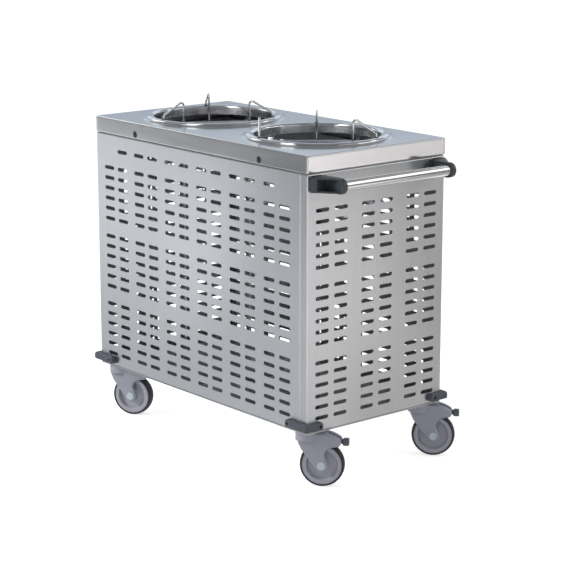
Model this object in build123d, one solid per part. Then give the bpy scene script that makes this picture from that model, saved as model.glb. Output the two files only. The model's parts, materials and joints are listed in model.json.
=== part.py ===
from build123d import *
import math
import os

# A plate dispenser trolley in millimetres. +X is the handle end, -Y the long front side, +Z up.
# The origin is on the floor below the middle of the cabinet.

# Cabinet
COVER_LENGTH = 980.0
COVER_WIDTH = 506.0
DECK_TOP = 925.0
COVER_SHEET = 1.5
SKIRT_HEIGHT = 46.5
SKIRT_HEM = 5.0
BODY_LENGTH = 976.0
BODY_WIDTH = 502.0
BODY_TOP = 875.0
BASE_BOTTOM = 160.0
BASE_SHEET = 3.0
PANEL_SHEET = 1.2
PANEL_HEM = 14.0
PANEL_HEM_SETBACK = 45.0
CORNER_RETURN = 28.5
CORNER_BEND = 3.0
SEAM = 0.8
RUNNING_GAP = 0.05
LOOSE_GAP = 0.3

# Slots punched in the panels
SLOT_LENGTH = 47.0
SLOT_HEIGHT = 10.5
SLOT_IN_PAIR = 66.4
SIDE_PAIRS = 6
SIDE_PAIR_PITCH = 150.1
END_PAIRS = 3
END_PAIR_PITCH = 164.7
ROW_PITCH = 31.0
ROWS_IN_GROUP = 6
GROUP_TOPS = (775.5, 566.0, 356.0)
TOP_ROW = 828.5

# Frame inside the panels
POST_LEG = 30.0
POST_SHEET = 3.0
RAIL_SHEET = 2.0
RAIL_SETBACK = 4.0
RAIL_LEG = 21.0

# Wells
WELL_X = 235.5
STEP_RADIUS = 213.0
STEP_INNER_RADIUS = 205.0
STEP_HEIGHT = 3.0
DECK_HOLE_RADIUS = 196.0
BEAD_RADIUS = 203.0
BEAD_HEIGHT = 6.0
BAND_RADIUS = 178.0
BAND_SHEET = 2.0
BAND_BOTTOM = 906.0
LIP_RADIUS = 193.0
FAR_GUIDE_ANGLE = 30.0
NEAR_GUIDE_ANGLE = 20.0

# Frame that hangs in each well
HANGER_INNER_PLACE = 194.0
HANGER_OUTER_PLACE = 222.0
HANGER_WIDTH = 56.0
HANGER_SHEET = 4.0
WELL_RAIL_RADIUS = 6.0
WELL_RAIL_PLACE = 200.0
FLOOR_DISC_RADIUS = 215.0
FLOOR_DISC_SHEET = 5.0

# Plate guides
WIRE_RADIUS = 3.0
GUIDE_STUB_PLACE = 186.0
GUIDE_REACH = 73.0
GUIDE_STUB_BOTTOM = 911.0
GUIDE_SHOULDER = 945.0
GUIDE_APEX = 984.0
GUIDE_CRANK = 184.0
GUIDE_BEND = 9.0
GUIDE_FLOOR_GAP = 0.5
TURNED_GUIDE = 60.0
TURNED_PLACE = ("near", 2)
BUSH_RADIUS = 5.0
BUSH_BOTTOM = 910.0
BUSH_COLLAR_RADIUS = 6.0
BUSH_COLLAR = 1.5
BUSH_SEAT = 0.3

# Plate carriers
CARRIER_TOP = 900.0
CARRIER_BAR_RADIUS = 4.0
CARRIER_POINT = 160.0
CARRIER_HUB_RADIUS = 22.0
STRUT_RADIUS = 5.0
YOKE_TOP = 732.0
YOKE_SHEET = 5.0
YOKE_INNER_RADIUS = 150.0
YOKE_OUTER_RADIUS = 194.0
YOKE_HALF_ANGLE = 25.0
YOKE_LUG_RADIUS = 17.0
GLIDE_RADIUS = 10.0
GLIDE_FLANGE_RADIUS = 13.0
GLIDE_FLANGE = 3.0
GLIDE_LENGTH = 42.0

# Springs
SPRING_ANGLE = 20.0
SPRING_PLACE = 184.5
SPRING_COIL_RADIUS = 6.0
SPRING_WIRE_RADIUS = 1.3
SPRING_TURNS = 8
SPRING_BEND = 4.0

# Push handle
HANDLE_OUT = 73.0
HANDLE_Z = 849.0
HANDLE_RADIUS = 15.0
HANDLE_WALL = 1.5
COLLAR_RADIUS = 21.0
COLLAR_INNER = 190.0
COLLAR_OUTER = 207.0
PAD_THICKNESS = 9.0
PAD_OUTER = 249.0
PAD_INNER = 179.0
PAD_OUTER_CUT = (15.0, 11.0)
PAD_INNER_CUT = (29.0, 17.0)
POCKET_START = 22.0
POCKET_FLOOR = 201.0
POCKET_WALL = 5.5
BRACKET_ROUND = 4.0
TUBE_SEAT = 199.0
HANDLE_BOLT_RADIUS = 3.0
HANDLE_BOLT_PLACES = (200.0, 213.0)

# Corner bumpers
BUMPER_X_ARM = 95.0
BUMPER_Y_ARM = 66.0
BUMPER_OUT = 17.0
BUMPER_BOTTOM = 170.5
BUMPER_HEIGHT = 22.0
BUMPER_ROUND = 5.0
BUMPER_TOP_ROUND = 9.0
BUMPER_END_ROUND = 8.0
BUMPER_SCREW_RADIUS = 2.0
BUMPER_SCREW_INSET = 14.0
BUMPER_SCREW_WELL = 4.2

# Cover plugs
PLUG_X = 287.0
PLUG_Z = 890.5
PLUG_RADIUS = 10.0
PLUG_STEM_RADIUS = 6.0
PLUG_DOME = 4.0

# Casters, with the trail along +X and the swivel axis at the origin
WHEEL_RADIUS = 62.5
RIM_RADIUS = 57.5
DISH_RADIUS = 46.0
HUB_RADIUS = 15.0
TYRE_HALF_WIDTH = 16.0
RIM_HALF_WIDTH = 15.0
WEB_HALF_WIDTH = 4.5
HUB_HALF_WIDTH = 18.0
TRAIL = 42.0
FORK_HALF_WIDTH = 25.0
FORK_CAVITY_HALF_WIDTH = 19.0
FORK_CAVITY_RADIUS = 66.5
FORK_BOSS_RADIUS = 18.0
FORK_HEAD_RADIUS = 33.0
FORK_HEAD_BOTTOM = 132.0
FORK_TOP = 156.8
FORK_ROUND = 5.0
AXLE_RADIUS = 5.0
AXLE_CAP_RADIUS = 11.5
AXLE_CAP = 3.0
PIVOT_RADIUS = 6.0
PIVOT_FLANGE_RADIUS = 30.0
PIVOT_FLANGE = 2.7
PIVOT_BOTTOM = 136.0
NUT_ACROSS_CORNERS = 21.0
NUT_HEIGHT = 9.0
PEDAL_PIN_RADIUS = 3.0
PEDAL_PIN_HALF_LENGTH = 14.0
PEDAL_HALF_WIDTH = 7.0
PEDAL_SLOT_HALF_WIDTH = 8.0
KNOB_HALF_WIDTH = 10.0
CASTERS = {
    "front_handle": (443.0, -211.0, 42.0, True),
    "rear_handle": (443.0, 211.0, 44.0, True),
    "front_far": (-443.0, -211.0, 30.0, False),
    "rear_far": (-443.0, 211.0, 55.0, False),
}

PANEL_BOTTOM = BASE_BOTTOM + BASE_SHEET
SKIRT_BOTTOM = DECK_TOP - SKIRT_HEIGHT
HALF_BODY_X = BODY_LENGTH / 2
HALF_BODY_Y = BODY_WIDTH / 2
WELLS = {"near": (WELL_X, NEAR_GUIDE_ANGLE), "far": (-WELL_X, FAR_GUIDE_ANGLE)}

os.makedirs("parts", exist_ok=True)


def save(name, shape):
    export_step(shape, f"parts/{name}.step")


def group(name, solids):
    save(name, Compound(children=list(solids)))


def tube_ring(inner, outer, bottom, top):
    """A flat or tall round ring about the Z axis."""
    height = top - bottom
    ring = Cylinder(outer, height) - Cylinder(inner, height)
    return Pos(0, 0, (bottom + top) / 2) * ring


def rod(start, end, radius):
    """A round bar from one point to another."""
    axis = Vector(*end) - Vector(*start)
    return extrude(Plane(Vector(*start), z_dir=axis) * Circle(radius), axis.length)


def polar(radius, angle, z=0.0):
    turn = math.radians(angle)
    return (radius * math.cos(turn), radius * math.sin(turn), z)


def slab(x0, x1, y0, y1, z0, z1):
    """A block between two opposite corners."""
    return Pos((x0 + x1) / 2, (y0 + y1) / 2, (z0 + z1) / 2) * Box(x1 - x0, y1 - y0, z1 - z0)


# Cover: a folded deck with hemmed skirts. Each well has a round hole in a pressed, raised step.
def make_cover():
    outer = Pos(0, 0, DECK_TOP - SKIRT_HEIGHT / 2) * Box(COVER_LENGTH, COVER_WIDTH, SKIRT_HEIGHT)
    outer = fillet(outer.edges().filter_by(Axis.Z), 5)
    outer = fillet(outer.faces().sort_by(Axis.Z)[-1].edges(), 3.5)
    hollow_height = SKIRT_HEIGHT - 2 * COVER_SHEET
    hollow = Box(COVER_LENGTH - 2 * COVER_SHEET, COVER_WIDTH - 2 * COVER_SHEET, hollow_height)
    hollow = Pos(0, 0, DECK_TOP - SKIRT_HEIGHT / 2) * hollow
    mouth = Box(COVER_LENGTH - 2 * SKIRT_HEM, COVER_WIDTH - 2 * SKIRT_HEM, 4 * COVER_SHEET)
    cover = outer - hollow - Pos(0, 0, SKIRT_BOTTOM) * mouth
    step_top = DECK_TOP + STEP_HEIGHT
    with BuildLine() as step_profile:
        for z in (DECK_TOP, DECK_TOP - COVER_SHEET):
            middle = ((STEP_RADIUS + STEP_INNER_RADIUS) / 2, z + STEP_HEIGHT / 2)
            TangentArc((STEP_RADIUS, z), middle, tangent=(-1, 0))
            TangentArc((STEP_INNER_RADIUS, z + STEP_HEIGHT), middle, tangent=(1, 0))
        Line((STEP_RADIUS, DECK_TOP), (STEP_RADIUS, DECK_TOP - COVER_SHEET))
        Polyline(
            (STEP_INNER_RADIUS, step_top),
            (DECK_HOLE_RADIUS, step_top),
            (DECK_HOLE_RADIUS, step_top - COVER_SHEET),
            (STEP_INNER_RADIUS, step_top - COVER_SHEET),
        )
    step = revolve(Plane.XZ * make_face(step_profile.line), Axis.Z)
    for x, _ in WELLS.values():
        cover -= Pos(x, 0, DECK_TOP) * Cylinder(STEP_RADIUS, 4 * COVER_SHEET)
        cover += Pos(x, 0, 0) * step
    for x in (-PLUG_X, PLUG_X):
        cover -= Pos(x, 0, PLUG_Z) * Rot(90, 0, 0) * Cylinder(PLUG_STEM_RADIUS + LOOSE_GAP, 2 * COVER_WIDTH)
    return cover


# Cover plugs: low black domes whose stems go through the skirt.
def make_plugs():
    face = COVER_WIDTH / 2
    dome = Sphere((PLUG_RADIUS**2 + PLUG_DOME**2) / (2 * PLUG_DOME))
    dome = Pos(0, 0, PLUG_DOME - (PLUG_RADIUS**2 + PLUG_DOME**2) / (2 * PLUG_DOME)) * dome
    dome = split(dome, Plane.XY, keep=Keep.TOP)
    plug = dome + Pos(0, 0, -3) * Cylinder(PLUG_STEM_RADIUS, 6)
    for x in (-PLUG_X, PLUG_X):
        yield Pos(x, -face, PLUG_Z) * Rot(90, 0, 0) * plug
        yield Pos(x, face, PLUG_Z) * Rot(-90, 0, 0) * plug


# Panels: one sheet face with every slot in it, hemmed inwards along the top and the bottom.
def pair_places(pairs, pitch, middle):
    for pair in range(pairs):
        centre = middle + (pair - (pairs - 1) / 2) * pitch
        yield centre - SLOT_IN_PAIR / 2
        yield centre + SLOT_IN_PAIR / 2


def slotted_sheet(plane, left, right, columns, with_top_row, holes):
    """A sheet in a plane whose local x runs along the panel and local y is height."""
    frame = Pos((left + right) / 2, (PANEL_BOTTOM + BODY_TOP) / 2)
    outline = plane * frame * Rectangle(right - left, BODY_TOP - PANEL_BOTTOM)
    slot = SlotOverall(SLOT_LENGTH, SLOT_HEIGHT)
    places = []
    for top in GROUP_TOPS:
        for row in range(ROWS_IN_GROUP):
            places += [(column, top - row * ROW_PITCH) for column in columns]
    if with_top_row:
        places += [(column, TOP_ROW) for column in columns[1:-1]]
    cuts = [(plane * Pos(x, z) * slot).face().outer_wire() for x, z in places]
    cuts += [(plane * Pos(x, z) * Circle(radius)).face().outer_wire() for x, z, radius in holes]
    return extrude(Face(outline.face().outer_wire(), cuts), PANEL_SHEET, dir=-plane.z_dir)


def hems(plane, left, right):
    """Inward folds of a panel, stopped short of the corner posts."""
    middle = (left + right) / 2
    length = right - left - 2 * PANEL_HEM_SETBACK
    for z in (PANEL_BOTTOM + PANEL_SHEET / 2, BODY_TOP - PANEL_SHEET / 2):
        yield plane * Pos(middle, z, -PANEL_HEM / 2) * Box(length, PANEL_SHEET, PANEL_HEM)


def bumper_screw_places():
    """Distances from the body's corner to the bumper screws, along X and along Y."""
    along_x = BUMPER_X_ARM - BUMPER_OUT - BUMPER_SCREW_INSET
    along_y = BUMPER_Y_ARM - BUMPER_OUT - BUMPER_SCREW_INSET
    return along_x, along_y


def make_front_panel():
    left = -HALF_BODY_X
    right = HALF_BODY_X - CORNER_RETURN - SEAM
    plane = Plane((0, -HALF_BODY_Y, 0), x_dir=(1, 0, 0), z_dir=(0, -1, 0))
    columns = list(pair_places(SIDE_PAIRS, SIDE_PAIR_PITCH, (left + right) / 2))
    along_x, _ = bumper_screw_places()
    screw_z = BUMPER_BOTTOM + BUMPER_HEIGHT / 2
    screw_hole = BUMPER_SCREW_RADIUS + LOOSE_GAP
    holes = [(x, screw_z, screw_hole) for x in (along_x - HALF_BODY_X, HALF_BODY_X - along_x)]
    sheet = slotted_sheet(plane, left, right, columns, True, holes)
    return sheet + list(hems(plane, left, right))


def make_end_panel(end):
    half = HALF_BODY_Y - (CORNER_BEND if end > 0 else PANEL_SHEET)
    plane = Plane((end * HALF_BODY_X, 0, 0), x_dir=(0, end, 0), z_dir=(end, 0, 0))
    columns = list(pair_places(END_PAIRS, END_PAIR_PITCH, 0))
    _, along_y = bumper_screw_places()
    screw_z = BUMPER_BOTTOM + BUMPER_HEIGHT / 2
    screw_hole = BUMPER_SCREW_RADIUS + LOOSE_GAP
    holes = [(y, screw_z, screw_hole) for y in (along_y - HALF_BODY_Y, HALF_BODY_Y - along_y)]
    if end > 0:
        bolt_hole = HANDLE_BOLT_RADIUS + LOOSE_GAP
        holes += [(side * y, HANDLE_Z, bolt_hole) for side in (-1, 1) for y in HANDLE_BOLT_PLACES]
    sheet = slotted_sheet(plane, -half, half, columns, False, holes)
    folds = list(hems(plane, -half, half))
    if end > 0:
        folds += [corner_return(side) for side in (-1, 1)]
    return sheet + folds


def corner_return(side):
    """The bend of the handle-end panel round one corner, and its narrow leg on the long side."""
    bend_x = HALF_BODY_X - CORNER_BEND
    bend_y = HALF_BODY_Y - CORNER_BEND
    leg_end = HALF_BODY_X - CORNER_RETURN
    inner_bend = CORNER_BEND - PANEL_SHEET
    with BuildLine() as section:
        Line((leg_end, HALF_BODY_Y), (bend_x, HALF_BODY_Y))
        CenterArc((bend_x, bend_y), CORNER_BEND, 0, 90)
        Line((HALF_BODY_X, bend_y), (HALF_BODY_X - PANEL_SHEET, bend_y))
        CenterArc((bend_x, bend_y), inner_bend, 0, 90)
        Polyline(
            (bend_x, HALF_BODY_Y - PANEL_SHEET),
            (leg_end, HALF_BODY_Y - PANEL_SHEET),
            (leg_end, HALF_BODY_Y),
        )
    fold = Pos(0, 0, PANEL_BOTTOM) * extrude(make_face(section.line), BODY_TOP - PANEL_BOTTOM)
    return fold if side > 0 else mirror(fold, Plane.XZ)


# Frame: a base tray, four corner angles and four channel rails under the deck.
def make_base():
    base = Pos(0, 0, BASE_BOTTOM + BASE_SHEET / 2) * Box(BODY_LENGTH, BODY_WIDTH, BASE_SHEET)
    base = fillet(base.edges().filter_by(Axis.Z), 3)
    for x, y, _, _ in CASTERS.values():
        base -= Pos(x, y, BASE_BOTTOM) * Cylinder(PIVOT_RADIUS + LOOSE_GAP, 4 * BASE_SHEET)
    return base


def make_posts():
    for end in (-1, 1):
        for side in (-1, 1):
            x = end * (HALF_BODY_X - PANEL_SHEET)
            y = side * (HALF_BODY_Y - PANEL_SHEET)
            xs = sorted((x, x - end * POST_LEG))
            ys = sorted((y, y - side * POST_LEG))
            thin_x = sorted((x, x - end * POST_SHEET))
            thin_y = sorted((y, y - side * POST_SHEET))
            post = slab(*xs, *thin_y, PANEL_BOTTOM, BODY_TOP)
            post += slab(*thin_x, *ys, PANEL_BOTTOM, BODY_TOP)
            corner = Vector(end, side, 0)
            outer_edge = max(post.edges().filter_by(Axis.Z), key=lambda edge: (edge @ 0).dot(corner))
            yield fillet(outer_edge, CORNER_BEND - PANEL_SHEET + LOOSE_GAP)


def channel(length):
    """A channel rail open towards -Y, its back face on the XZ plane, with mitred ends."""
    height = DECK_TOP - COVER_SHEET - BODY_TOP
    section = Polyline(
        (0, 0),
        (RAIL_LEG, 0),
        (RAIL_LEG, RAIL_SHEET),
        (RAIL_SHEET, RAIL_SHEET),
        (RAIL_SHEET, height - RAIL_SHEET),
        (RAIL_LEG, height - RAIL_SHEET),
        (RAIL_LEG, height),
        (0, height),
        close=True,
    )
    plane = Plane((-length / 2, 0, BODY_TOP), x_dir=(0, -1, 0), z_dir=(-1, 0, 0))
    rail = extrude(plane * make_face(section), -length)
    for end in (-1, 1):
        mitre = Polyline(
            (end * length / 2, 0),
            (end * length / 2, -RAIL_LEG),
            (end * (length / 2 - RAIL_LEG), -RAIL_LEG),
            close=True,
        )
        rail -= Pos(0, 0, BODY_TOP) * extrude(make_face(mitre), height, dir=(0, 0, 1))
    return rail


def make_rails():
    half_x = HALF_BODY_X - RAIL_SETBACK
    half_y = HALF_BODY_Y - RAIL_SETBACK
    long_rail = channel(2 * half_x)
    short_rail = channel(2 * half_y)
    yield Pos(0, half_y, 0) * long_rail
    yield Pos(0, -half_y, 0) * Rot(0, 0, 180) * long_rail
    yield Pos(half_x, 0, 0) * Rot(0, 0, -90) * short_rail
    yield Pos(-half_x, 0, 0) * Rot(0, 0, 90) * short_rail


# Corner bumpers: moulded angles round each corner, held by one sunk screw in each arm.
def bumper_screw_frames(end, side):
    """The seats of a bumper's two screws on the panels, each with its outward normal."""
    along_x, along_y = bumper_screw_places()
    z = BUMPER_BOTTOM + BUMPER_HEIGHT / 2
    yield Plane((end * (HALF_BODY_X - along_x), side * HALF_BODY_Y, z), z_dir=(0, side, 0))
    yield Plane((end * HALF_BODY_X, side * (HALF_BODY_Y - along_y), z), z_dir=(end, 0, 0))


def make_bumper(end, side):
    outer_x = HALF_BODY_X + BUMPER_OUT
    outer_y = HALF_BODY_Y + BUMPER_OUT
    xs = sorted((end * outer_x, end * (outer_x - BUMPER_X_ARM)))
    ys = sorted((side * outer_y, side * (outer_y - BUMPER_Y_ARM)))
    bumper = slab(*xs, *ys, BUMPER_BOTTOM, BUMPER_BOTTOM + BUMPER_HEIGHT)
    bumper = fillet(bumper.edges().filter_by(Axis.Z), BUMPER_END_ROUND)
    bumper = fillet(bumper.faces().sort_by(Axis.Z)[-1].edges(), BUMPER_TOP_ROUND)
    bumper = fillet(bumper.faces().sort_by(Axis.Z)[0].edges(), BUMPER_ROUND)
    bumper -= Box(BODY_LENGTH, BODY_WIDTH, 4 * DECK_TOP)
    for seat in bumper_screw_frames(end, side):
        bumper -= seat * Pos(0, 0, BUMPER_OUT / 2) * Cylinder(BUMPER_SCREW_RADIUS + LOOSE_GAP, 2 * BUMPER_OUT)
        bumper -= seat * Pos(0, 0, BUMPER_OUT) * Cylinder(BUMPER_SCREW_WELL, BUMPER_OUT)
    return bumper


def make_bumper_screws():
    head = 2.5
    shank = BUMPER_OUT / 2 + 6
    screw = Pos(0, 0, BUMPER_OUT / 2 + head / 2) * Cylinder(BUMPER_SCREW_WELL - 0.5, head)
    screw += Pos(0, 0, BUMPER_OUT / 2 - shank / 2) * Cylinder(BUMPER_SCREW_RADIUS, shank)
    for end in (-1, 1):
        for side in (-1, 1):
            for seat in bumper_screw_frames(end, side):
                yield seat * screw


# Push handle: a tube between two moulded brackets that lean in from the corners, hollow outside.
def make_handle_tube():
    tube = Cylinder(HANDLE_RADIUS, 2 * TUBE_SEAT) - Cylinder(HANDLE_RADIUS - HANDLE_WALL, 2 * TUBE_SEAT)
    return Pos(HALF_BODY_X + HANDLE_OUT, 0, HANDLE_Z) * Rot(90, 0, 0) * tube


def make_bracket(side):
    """Built on the +Y side: pad on the panel, leaning arm, round collar, pocket from outside."""
    face = HALF_BODY_X
    axis_x = face + HANDLE_OUT
    low = HANDLE_Z - COLLAR_RADIUS
    pad_half = COLLAR_RADIUS + 2
    outer_end, outer_half = PAD_OUTER - PAD_OUTER_CUT[0], pad_half - PAD_OUTER_CUT[1]
    inner_end, inner_half = PAD_INNER + PAD_INNER_CUT[0], pad_half - PAD_INNER_CUT[1]
    pad_outline = Polyline(
        (PAD_OUTER, -outer_half),
        (PAD_OUTER, outer_half),
        (outer_end, pad_half),
        (inner_end, pad_half),
        (PAD_INNER, inner_half),
        (PAD_INNER, -inner_half),
        (inner_end, -pad_half),
        (outer_end, -pad_half),
        close=True,
    )
    pad_plane = Plane((face, 0, HANDLE_Z), x_dir=(0, 1, 0), z_dir=(1, 0, 0))
    pad = extrude(pad_plane * make_face(pad_outline), PAD_THICKNESS)
    pad = fillet(pad.faces().sort_by(Axis.X)[-1].edges(), BRACKET_ROUND)
    arm_outline = Polyline(
        (face + PAD_THICKNESS / 2, PAD_OUTER - BRACKET_ROUND),
        (face + PAD_THICKNESS, PAD_OUTER - BRACKET_ROUND / 4),
        (axis_x - COLLAR_RADIUS / 2, COLLAR_OUTER),
        (axis_x, COLLAR_OUTER),
        (axis_x, COLLAR_INNER),
        (axis_x - COLLAR_RADIUS, COLLAR_INNER),
        (face + PAD_THICKNESS, COLLAR_INNER + 6),
        (face + PAD_THICKNESS / 2, COLLAR_INNER + 6),
        close=True,
    )
    arm = extrude(Pos(0, 0, low) * make_face(arm_outline), 2 * COLLAR_RADIUS, dir=(0, 0, 1))
    level_edges = arm.edges().filter_by(Plane.XY)
    outer_edges = level_edges.filter_by(lambda edge: (edge @ 0.5).Y > (COLLAR_INNER + COLLAR_OUTER) / 2)
    arm = fillet(outer_edges.filter_by(lambda edge: (edge @ 0.5).X > face + PAD_THICKNESS), BRACKET_ROUND)
    collar = Cylinder(COLLAR_RADIUS, COLLAR_OUTER - COLLAR_INNER)
    collar = Rot(90, 0, 0) * fillet(collar.edges(), BRACKET_ROUND)
    bracket = pad + [arm, Pos(axis_x, (COLLAR_OUTER + COLLAR_INNER) / 2, HANDLE_Z) * collar]
    pocket_round = COLLAR_RADIUS - POCKET_WALL
    pocket_start = face + POCKET_START
    pocket_depth = PAD_OUTER - POCKET_FLOOR
    pocket = slab(
        pocket_start, axis_x, POCKET_FLOOR, PAD_OUTER, HANDLE_Z - pocket_round, HANDLE_Z + pocket_round
    )
    pocket = fillet(pocket.edges().filter_by(Axis.Y).group_by(Axis.X)[0], 3)
    round_end = Rot(90, 0, 0) * Cylinder(pocket_round, pocket_depth)
    pocket += Pos(axis_x, POCKET_FLOOR + pocket_depth / 2, HANDLE_Z) * round_end
    bracket -= pocket
    seat = Rot(90, 0, 0) * Cylinder(HANDLE_RADIUS, TUBE_SEAT - COLLAR_INNER)
    bracket -= Pos(axis_x, (TUBE_SEAT + COLLAR_INNER) / 2, HANDLE_Z) * seat
    for place in HANDLE_BOLT_PLACES:
        hole = Pos(face, place, HANDLE_Z) * Rot(0, 90, 0) * Cylinder(HANDLE_BOLT_RADIUS + LOOSE_GAP, 32)
        bracket -= hole
    return bracket if side > 0 else mirror(bracket, Plane.XZ)


def make_handle_bolts():
    inside = HALF_BODY_X - PANEL_SHEET
    head = 4.0
    shank = 16.0
    for side in (-1, 1):
        for place in HANDLE_BOLT_PLACES:
            y = side * place
            bolt = rod((inside - head, y, HANDLE_Z), (inside, y, HANDLE_Z), 1.7 * HANDLE_BOLT_RADIUS)
            bolt += rod((inside, y, HANDLE_Z), (inside + shank, y, HANDLE_Z), HANDLE_BOLT_RADIUS)
            yield bolt


# Well ring: a rolled bead on the deck's step, a short band down inside, and a lip for the springs.
def make_ring(guide_angle):
    seat = DECK_TOP + STEP_HEIGHT
    crown = seat + BEAD_HEIGHT
    outer_band = BAND_RADIUS + BAND_SHEET
    shoulder = BAND_RADIUS + 9
    with BuildLine() as profile:
        Line((BAND_RADIUS, BAND_BOTTOM), (BAND_RADIUS, seat - 1))
        ThreePointArc((BAND_RADIUS, seat - 1), (BAND_RADIUS + 2.6, crown - 1.9), (shoulder, crown))
        ThreePointArc((shoulder, crown), (BEAD_RADIUS - 5.4, crown - 1.7), (BEAD_RADIUS, seat))
        Polyline(
            (BEAD_RADIUS, seat),
            (outer_band, seat),
            (outer_band, BAND_BOTTOM + BAND_SHEET),
            (LIP_RADIUS, BAND_BOTTOM + BAND_SHEET),
            (LIP_RADIUS, BAND_BOTTOM),
            (BAND_RADIUS, BAND_BOTTOM),
        )
    ring = revolve(Plane.XZ * make_face(profile.line), Axis.Z)
    for guide in range(3):
        x, y, _ = polar(GUIDE_STUB_PLACE, guide_angle + 120 * guide)
        ring -= Pos(x, y, seat + BEAD_HEIGHT / 2) * Cylinder(BUSH_RADIUS, 3 * BEAD_HEIGHT)
    return ring


def make_bushes(guide_angle):
    """Plastic sleeves in the bead, one round each guide's outer leg."""
    crown = DECK_TOP + STEP_HEIGHT + BEAD_HEIGHT + BUSH_SEAT
    bush = tube_ring(WIRE_RADIUS + RUNNING_GAP, BUSH_RADIUS, BUSH_BOTTOM, crown)
    bush += tube_ring(WIRE_RADIUS + RUNNING_GAP, BUSH_COLLAR_RADIUS, crown, crown + BUSH_COLLAR)
    for guide in range(3):
        yield Pos(*polar(GUIDE_STUB_PLACE, guide_angle + 120 * guide)) * bush


# Well frame: a disc on the base plate and three upright rails, each hung from a plate under the deck.
def make_well_frame(guide_angle):
    hanger_top = DECK_TOP - COVER_SHEET
    hanger_bottom = hanger_top - HANGER_SHEET
    floor = BASE_BOTTOM + BASE_SHEET
    floor_top = floor + FLOOR_DISC_SHEET
    disc = Pos(0, 0, floor + FLOOR_DISC_SHEET / 2) * Cylinder(FLOOR_DISC_RADIUS, FLOOR_DISC_SHEET)
    for guide in range(3):
        x, y, _ = polar(GUIDE_STUB_PLACE, guide_angle + 120 * guide)
        disc -= Pos(x, y, floor) * Cylinder(WIRE_RADIUS + RUNNING_GAP, 4 * FLOOR_DISC_SHEET)
    yield disc
    hanger = slab(
        HANGER_INNER_PLACE, HANGER_OUTER_PLACE, -HANGER_WIDTH / 2, HANGER_WIDTH / 2, hanger_bottom, hanger_top
    )
    hanger = fillet(hanger.edges().filter_by(Axis.Z), HANGER_SHEET)
    for arm in range(3):
        angle = guide_angle + 60 + 120 * arm
        x, y, _ = polar(WELL_RAIL_PLACE, angle)
        yield Rot(0, 0, angle) * hanger
        yield rod((x, y, floor_top), (x, y, hanger_bottom), WELL_RAIL_RADIUS)


# Plate guide: one bent wire. The outer leg turns in the bead, the crank's foot in the floor disc.
def make_guide(well_x, angle, turned):
    floor = BASE_BOTTOM + BASE_SHEET
    path = FilletPolyline(
        (0, 0, GUIDE_STUB_BOTTOM),
        (0, 0, GUIDE_SHOULDER),
        (-GUIDE_REACH, 0, GUIDE_APEX),
        (-GUIDE_REACH, 0, GUIDE_CRANK),
        (0, 0, GUIDE_CRANK),
        (0, 0, floor + GUIDE_FLOOR_GAP),
        radius=GUIDE_BEND,
    )
    start = Plane((0, 0, GUIDE_STUB_BOTTOM), z_dir=(0, 0, 1))
    wire = sweep(start * Circle(WIRE_RADIUS), path=path)
    x, y, _ = polar(GUIDE_STUB_PLACE, angle)
    return Pos(well_x + x, y, 0) * Rot(0, 0, angle + turned) * wire


# Plate carrier: a wire star in a triangle, struts from its points, and spring yokes on the struts.
def make_carrier(guide_angle):
    bar_z = CARRIER_TOP - CARRIER_BAR_RADIUS
    yoke_bottom = YOKE_TOP - YOKE_SHEET
    points = [polar(CARRIER_POINT, guide_angle + 60 + 120 * arm, bar_z) for arm in range(3)]
    carrier = Pos(0, 0, bar_z) * Cylinder(CARRIER_HUB_RADIUS, 2 * CARRIER_BAR_RADIUS)
    for arm in range(3):
        angle = guide_angle + 60 + 120 * arm
        carrier += rod((0, 0, bar_z), points[arm], CARRIER_BAR_RADIUS)
        carrier += rod(points[arm], points[(arm + 1) % 3], CARRIER_BAR_RADIUS)
        x, y, _ = points[arm]
        carrier += rod((x, y, yoke_bottom), (x, y, CARRIER_TOP), STRUT_RADIUS)
        yoke = tube_ring(YOKE_INNER_RADIUS, YOKE_OUTER_RADIUS, yoke_bottom, YOKE_TOP)
        sweep_points = [polar(2 * YOKE_OUTER_RADIUS, angle + turn * YOKE_HALF_ANGLE) for turn in (-1, 1)]
        sector = make_face(Polyline((0, 0), *[point[:2] for point in sweep_points], close=True))
        yoke &= Pos(0, 0, yoke_bottom) * extrude(sector, YOKE_SHEET, dir=(0, 0, 1))
        x, y, _ = polar(WELL_RAIL_PLACE, angle)
        yoke += Pos(x, y, YOKE_TOP - YOKE_SHEET / 2) * Cylinder(YOKE_LUG_RADIUS, YOKE_SHEET)
        yoke -= Pos(x, y, YOKE_TOP) * Cylinder(GLIDE_RADIUS, 4 * YOKE_SHEET)
        carrier += yoke
    return carrier


def make_glides(guide_angle):
    """Plastic sleeves on the rails, seated in the yokes' lugs by their flanges."""
    bore = WELL_RAIL_RADIUS + RUNNING_GAP
    bottom = YOKE_TOP - GLIDE_LENGTH / 2
    glide = tube_ring(bore, GLIDE_RADIUS, bottom, bottom + GLIDE_LENGTH)
    glide += tube_ring(bore, GLIDE_FLANGE_RADIUS, YOKE_TOP, YOKE_TOP + GLIDE_FLANGE)
    for arm in range(3):
        yield Pos(*polar(WELL_RAIL_PLACE, guide_angle + 60 + 120 * arm)) * glide


# Springs: open pulling coils from the ring's lip down to the yokes, each one bent wire.
def two_arcs(start, leave, end, arrive):
    """Two tangent arcs from one point and heading to another."""
    chord = end - start
    fall = chord.dot(leave + arrive)
    spread = 2 * (1 - leave.dot(arrive))
    reach = (math.sqrt(fall**2 + spread * chord.dot(chord)) - fall) / spread
    middle = (start + end + (leave - arrive) * reach) * 0.5
    first = TangentArc(start, middle, tangent=leave)
    return [first, TangentArc(middle, end, tangent=first % 1)]


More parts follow.
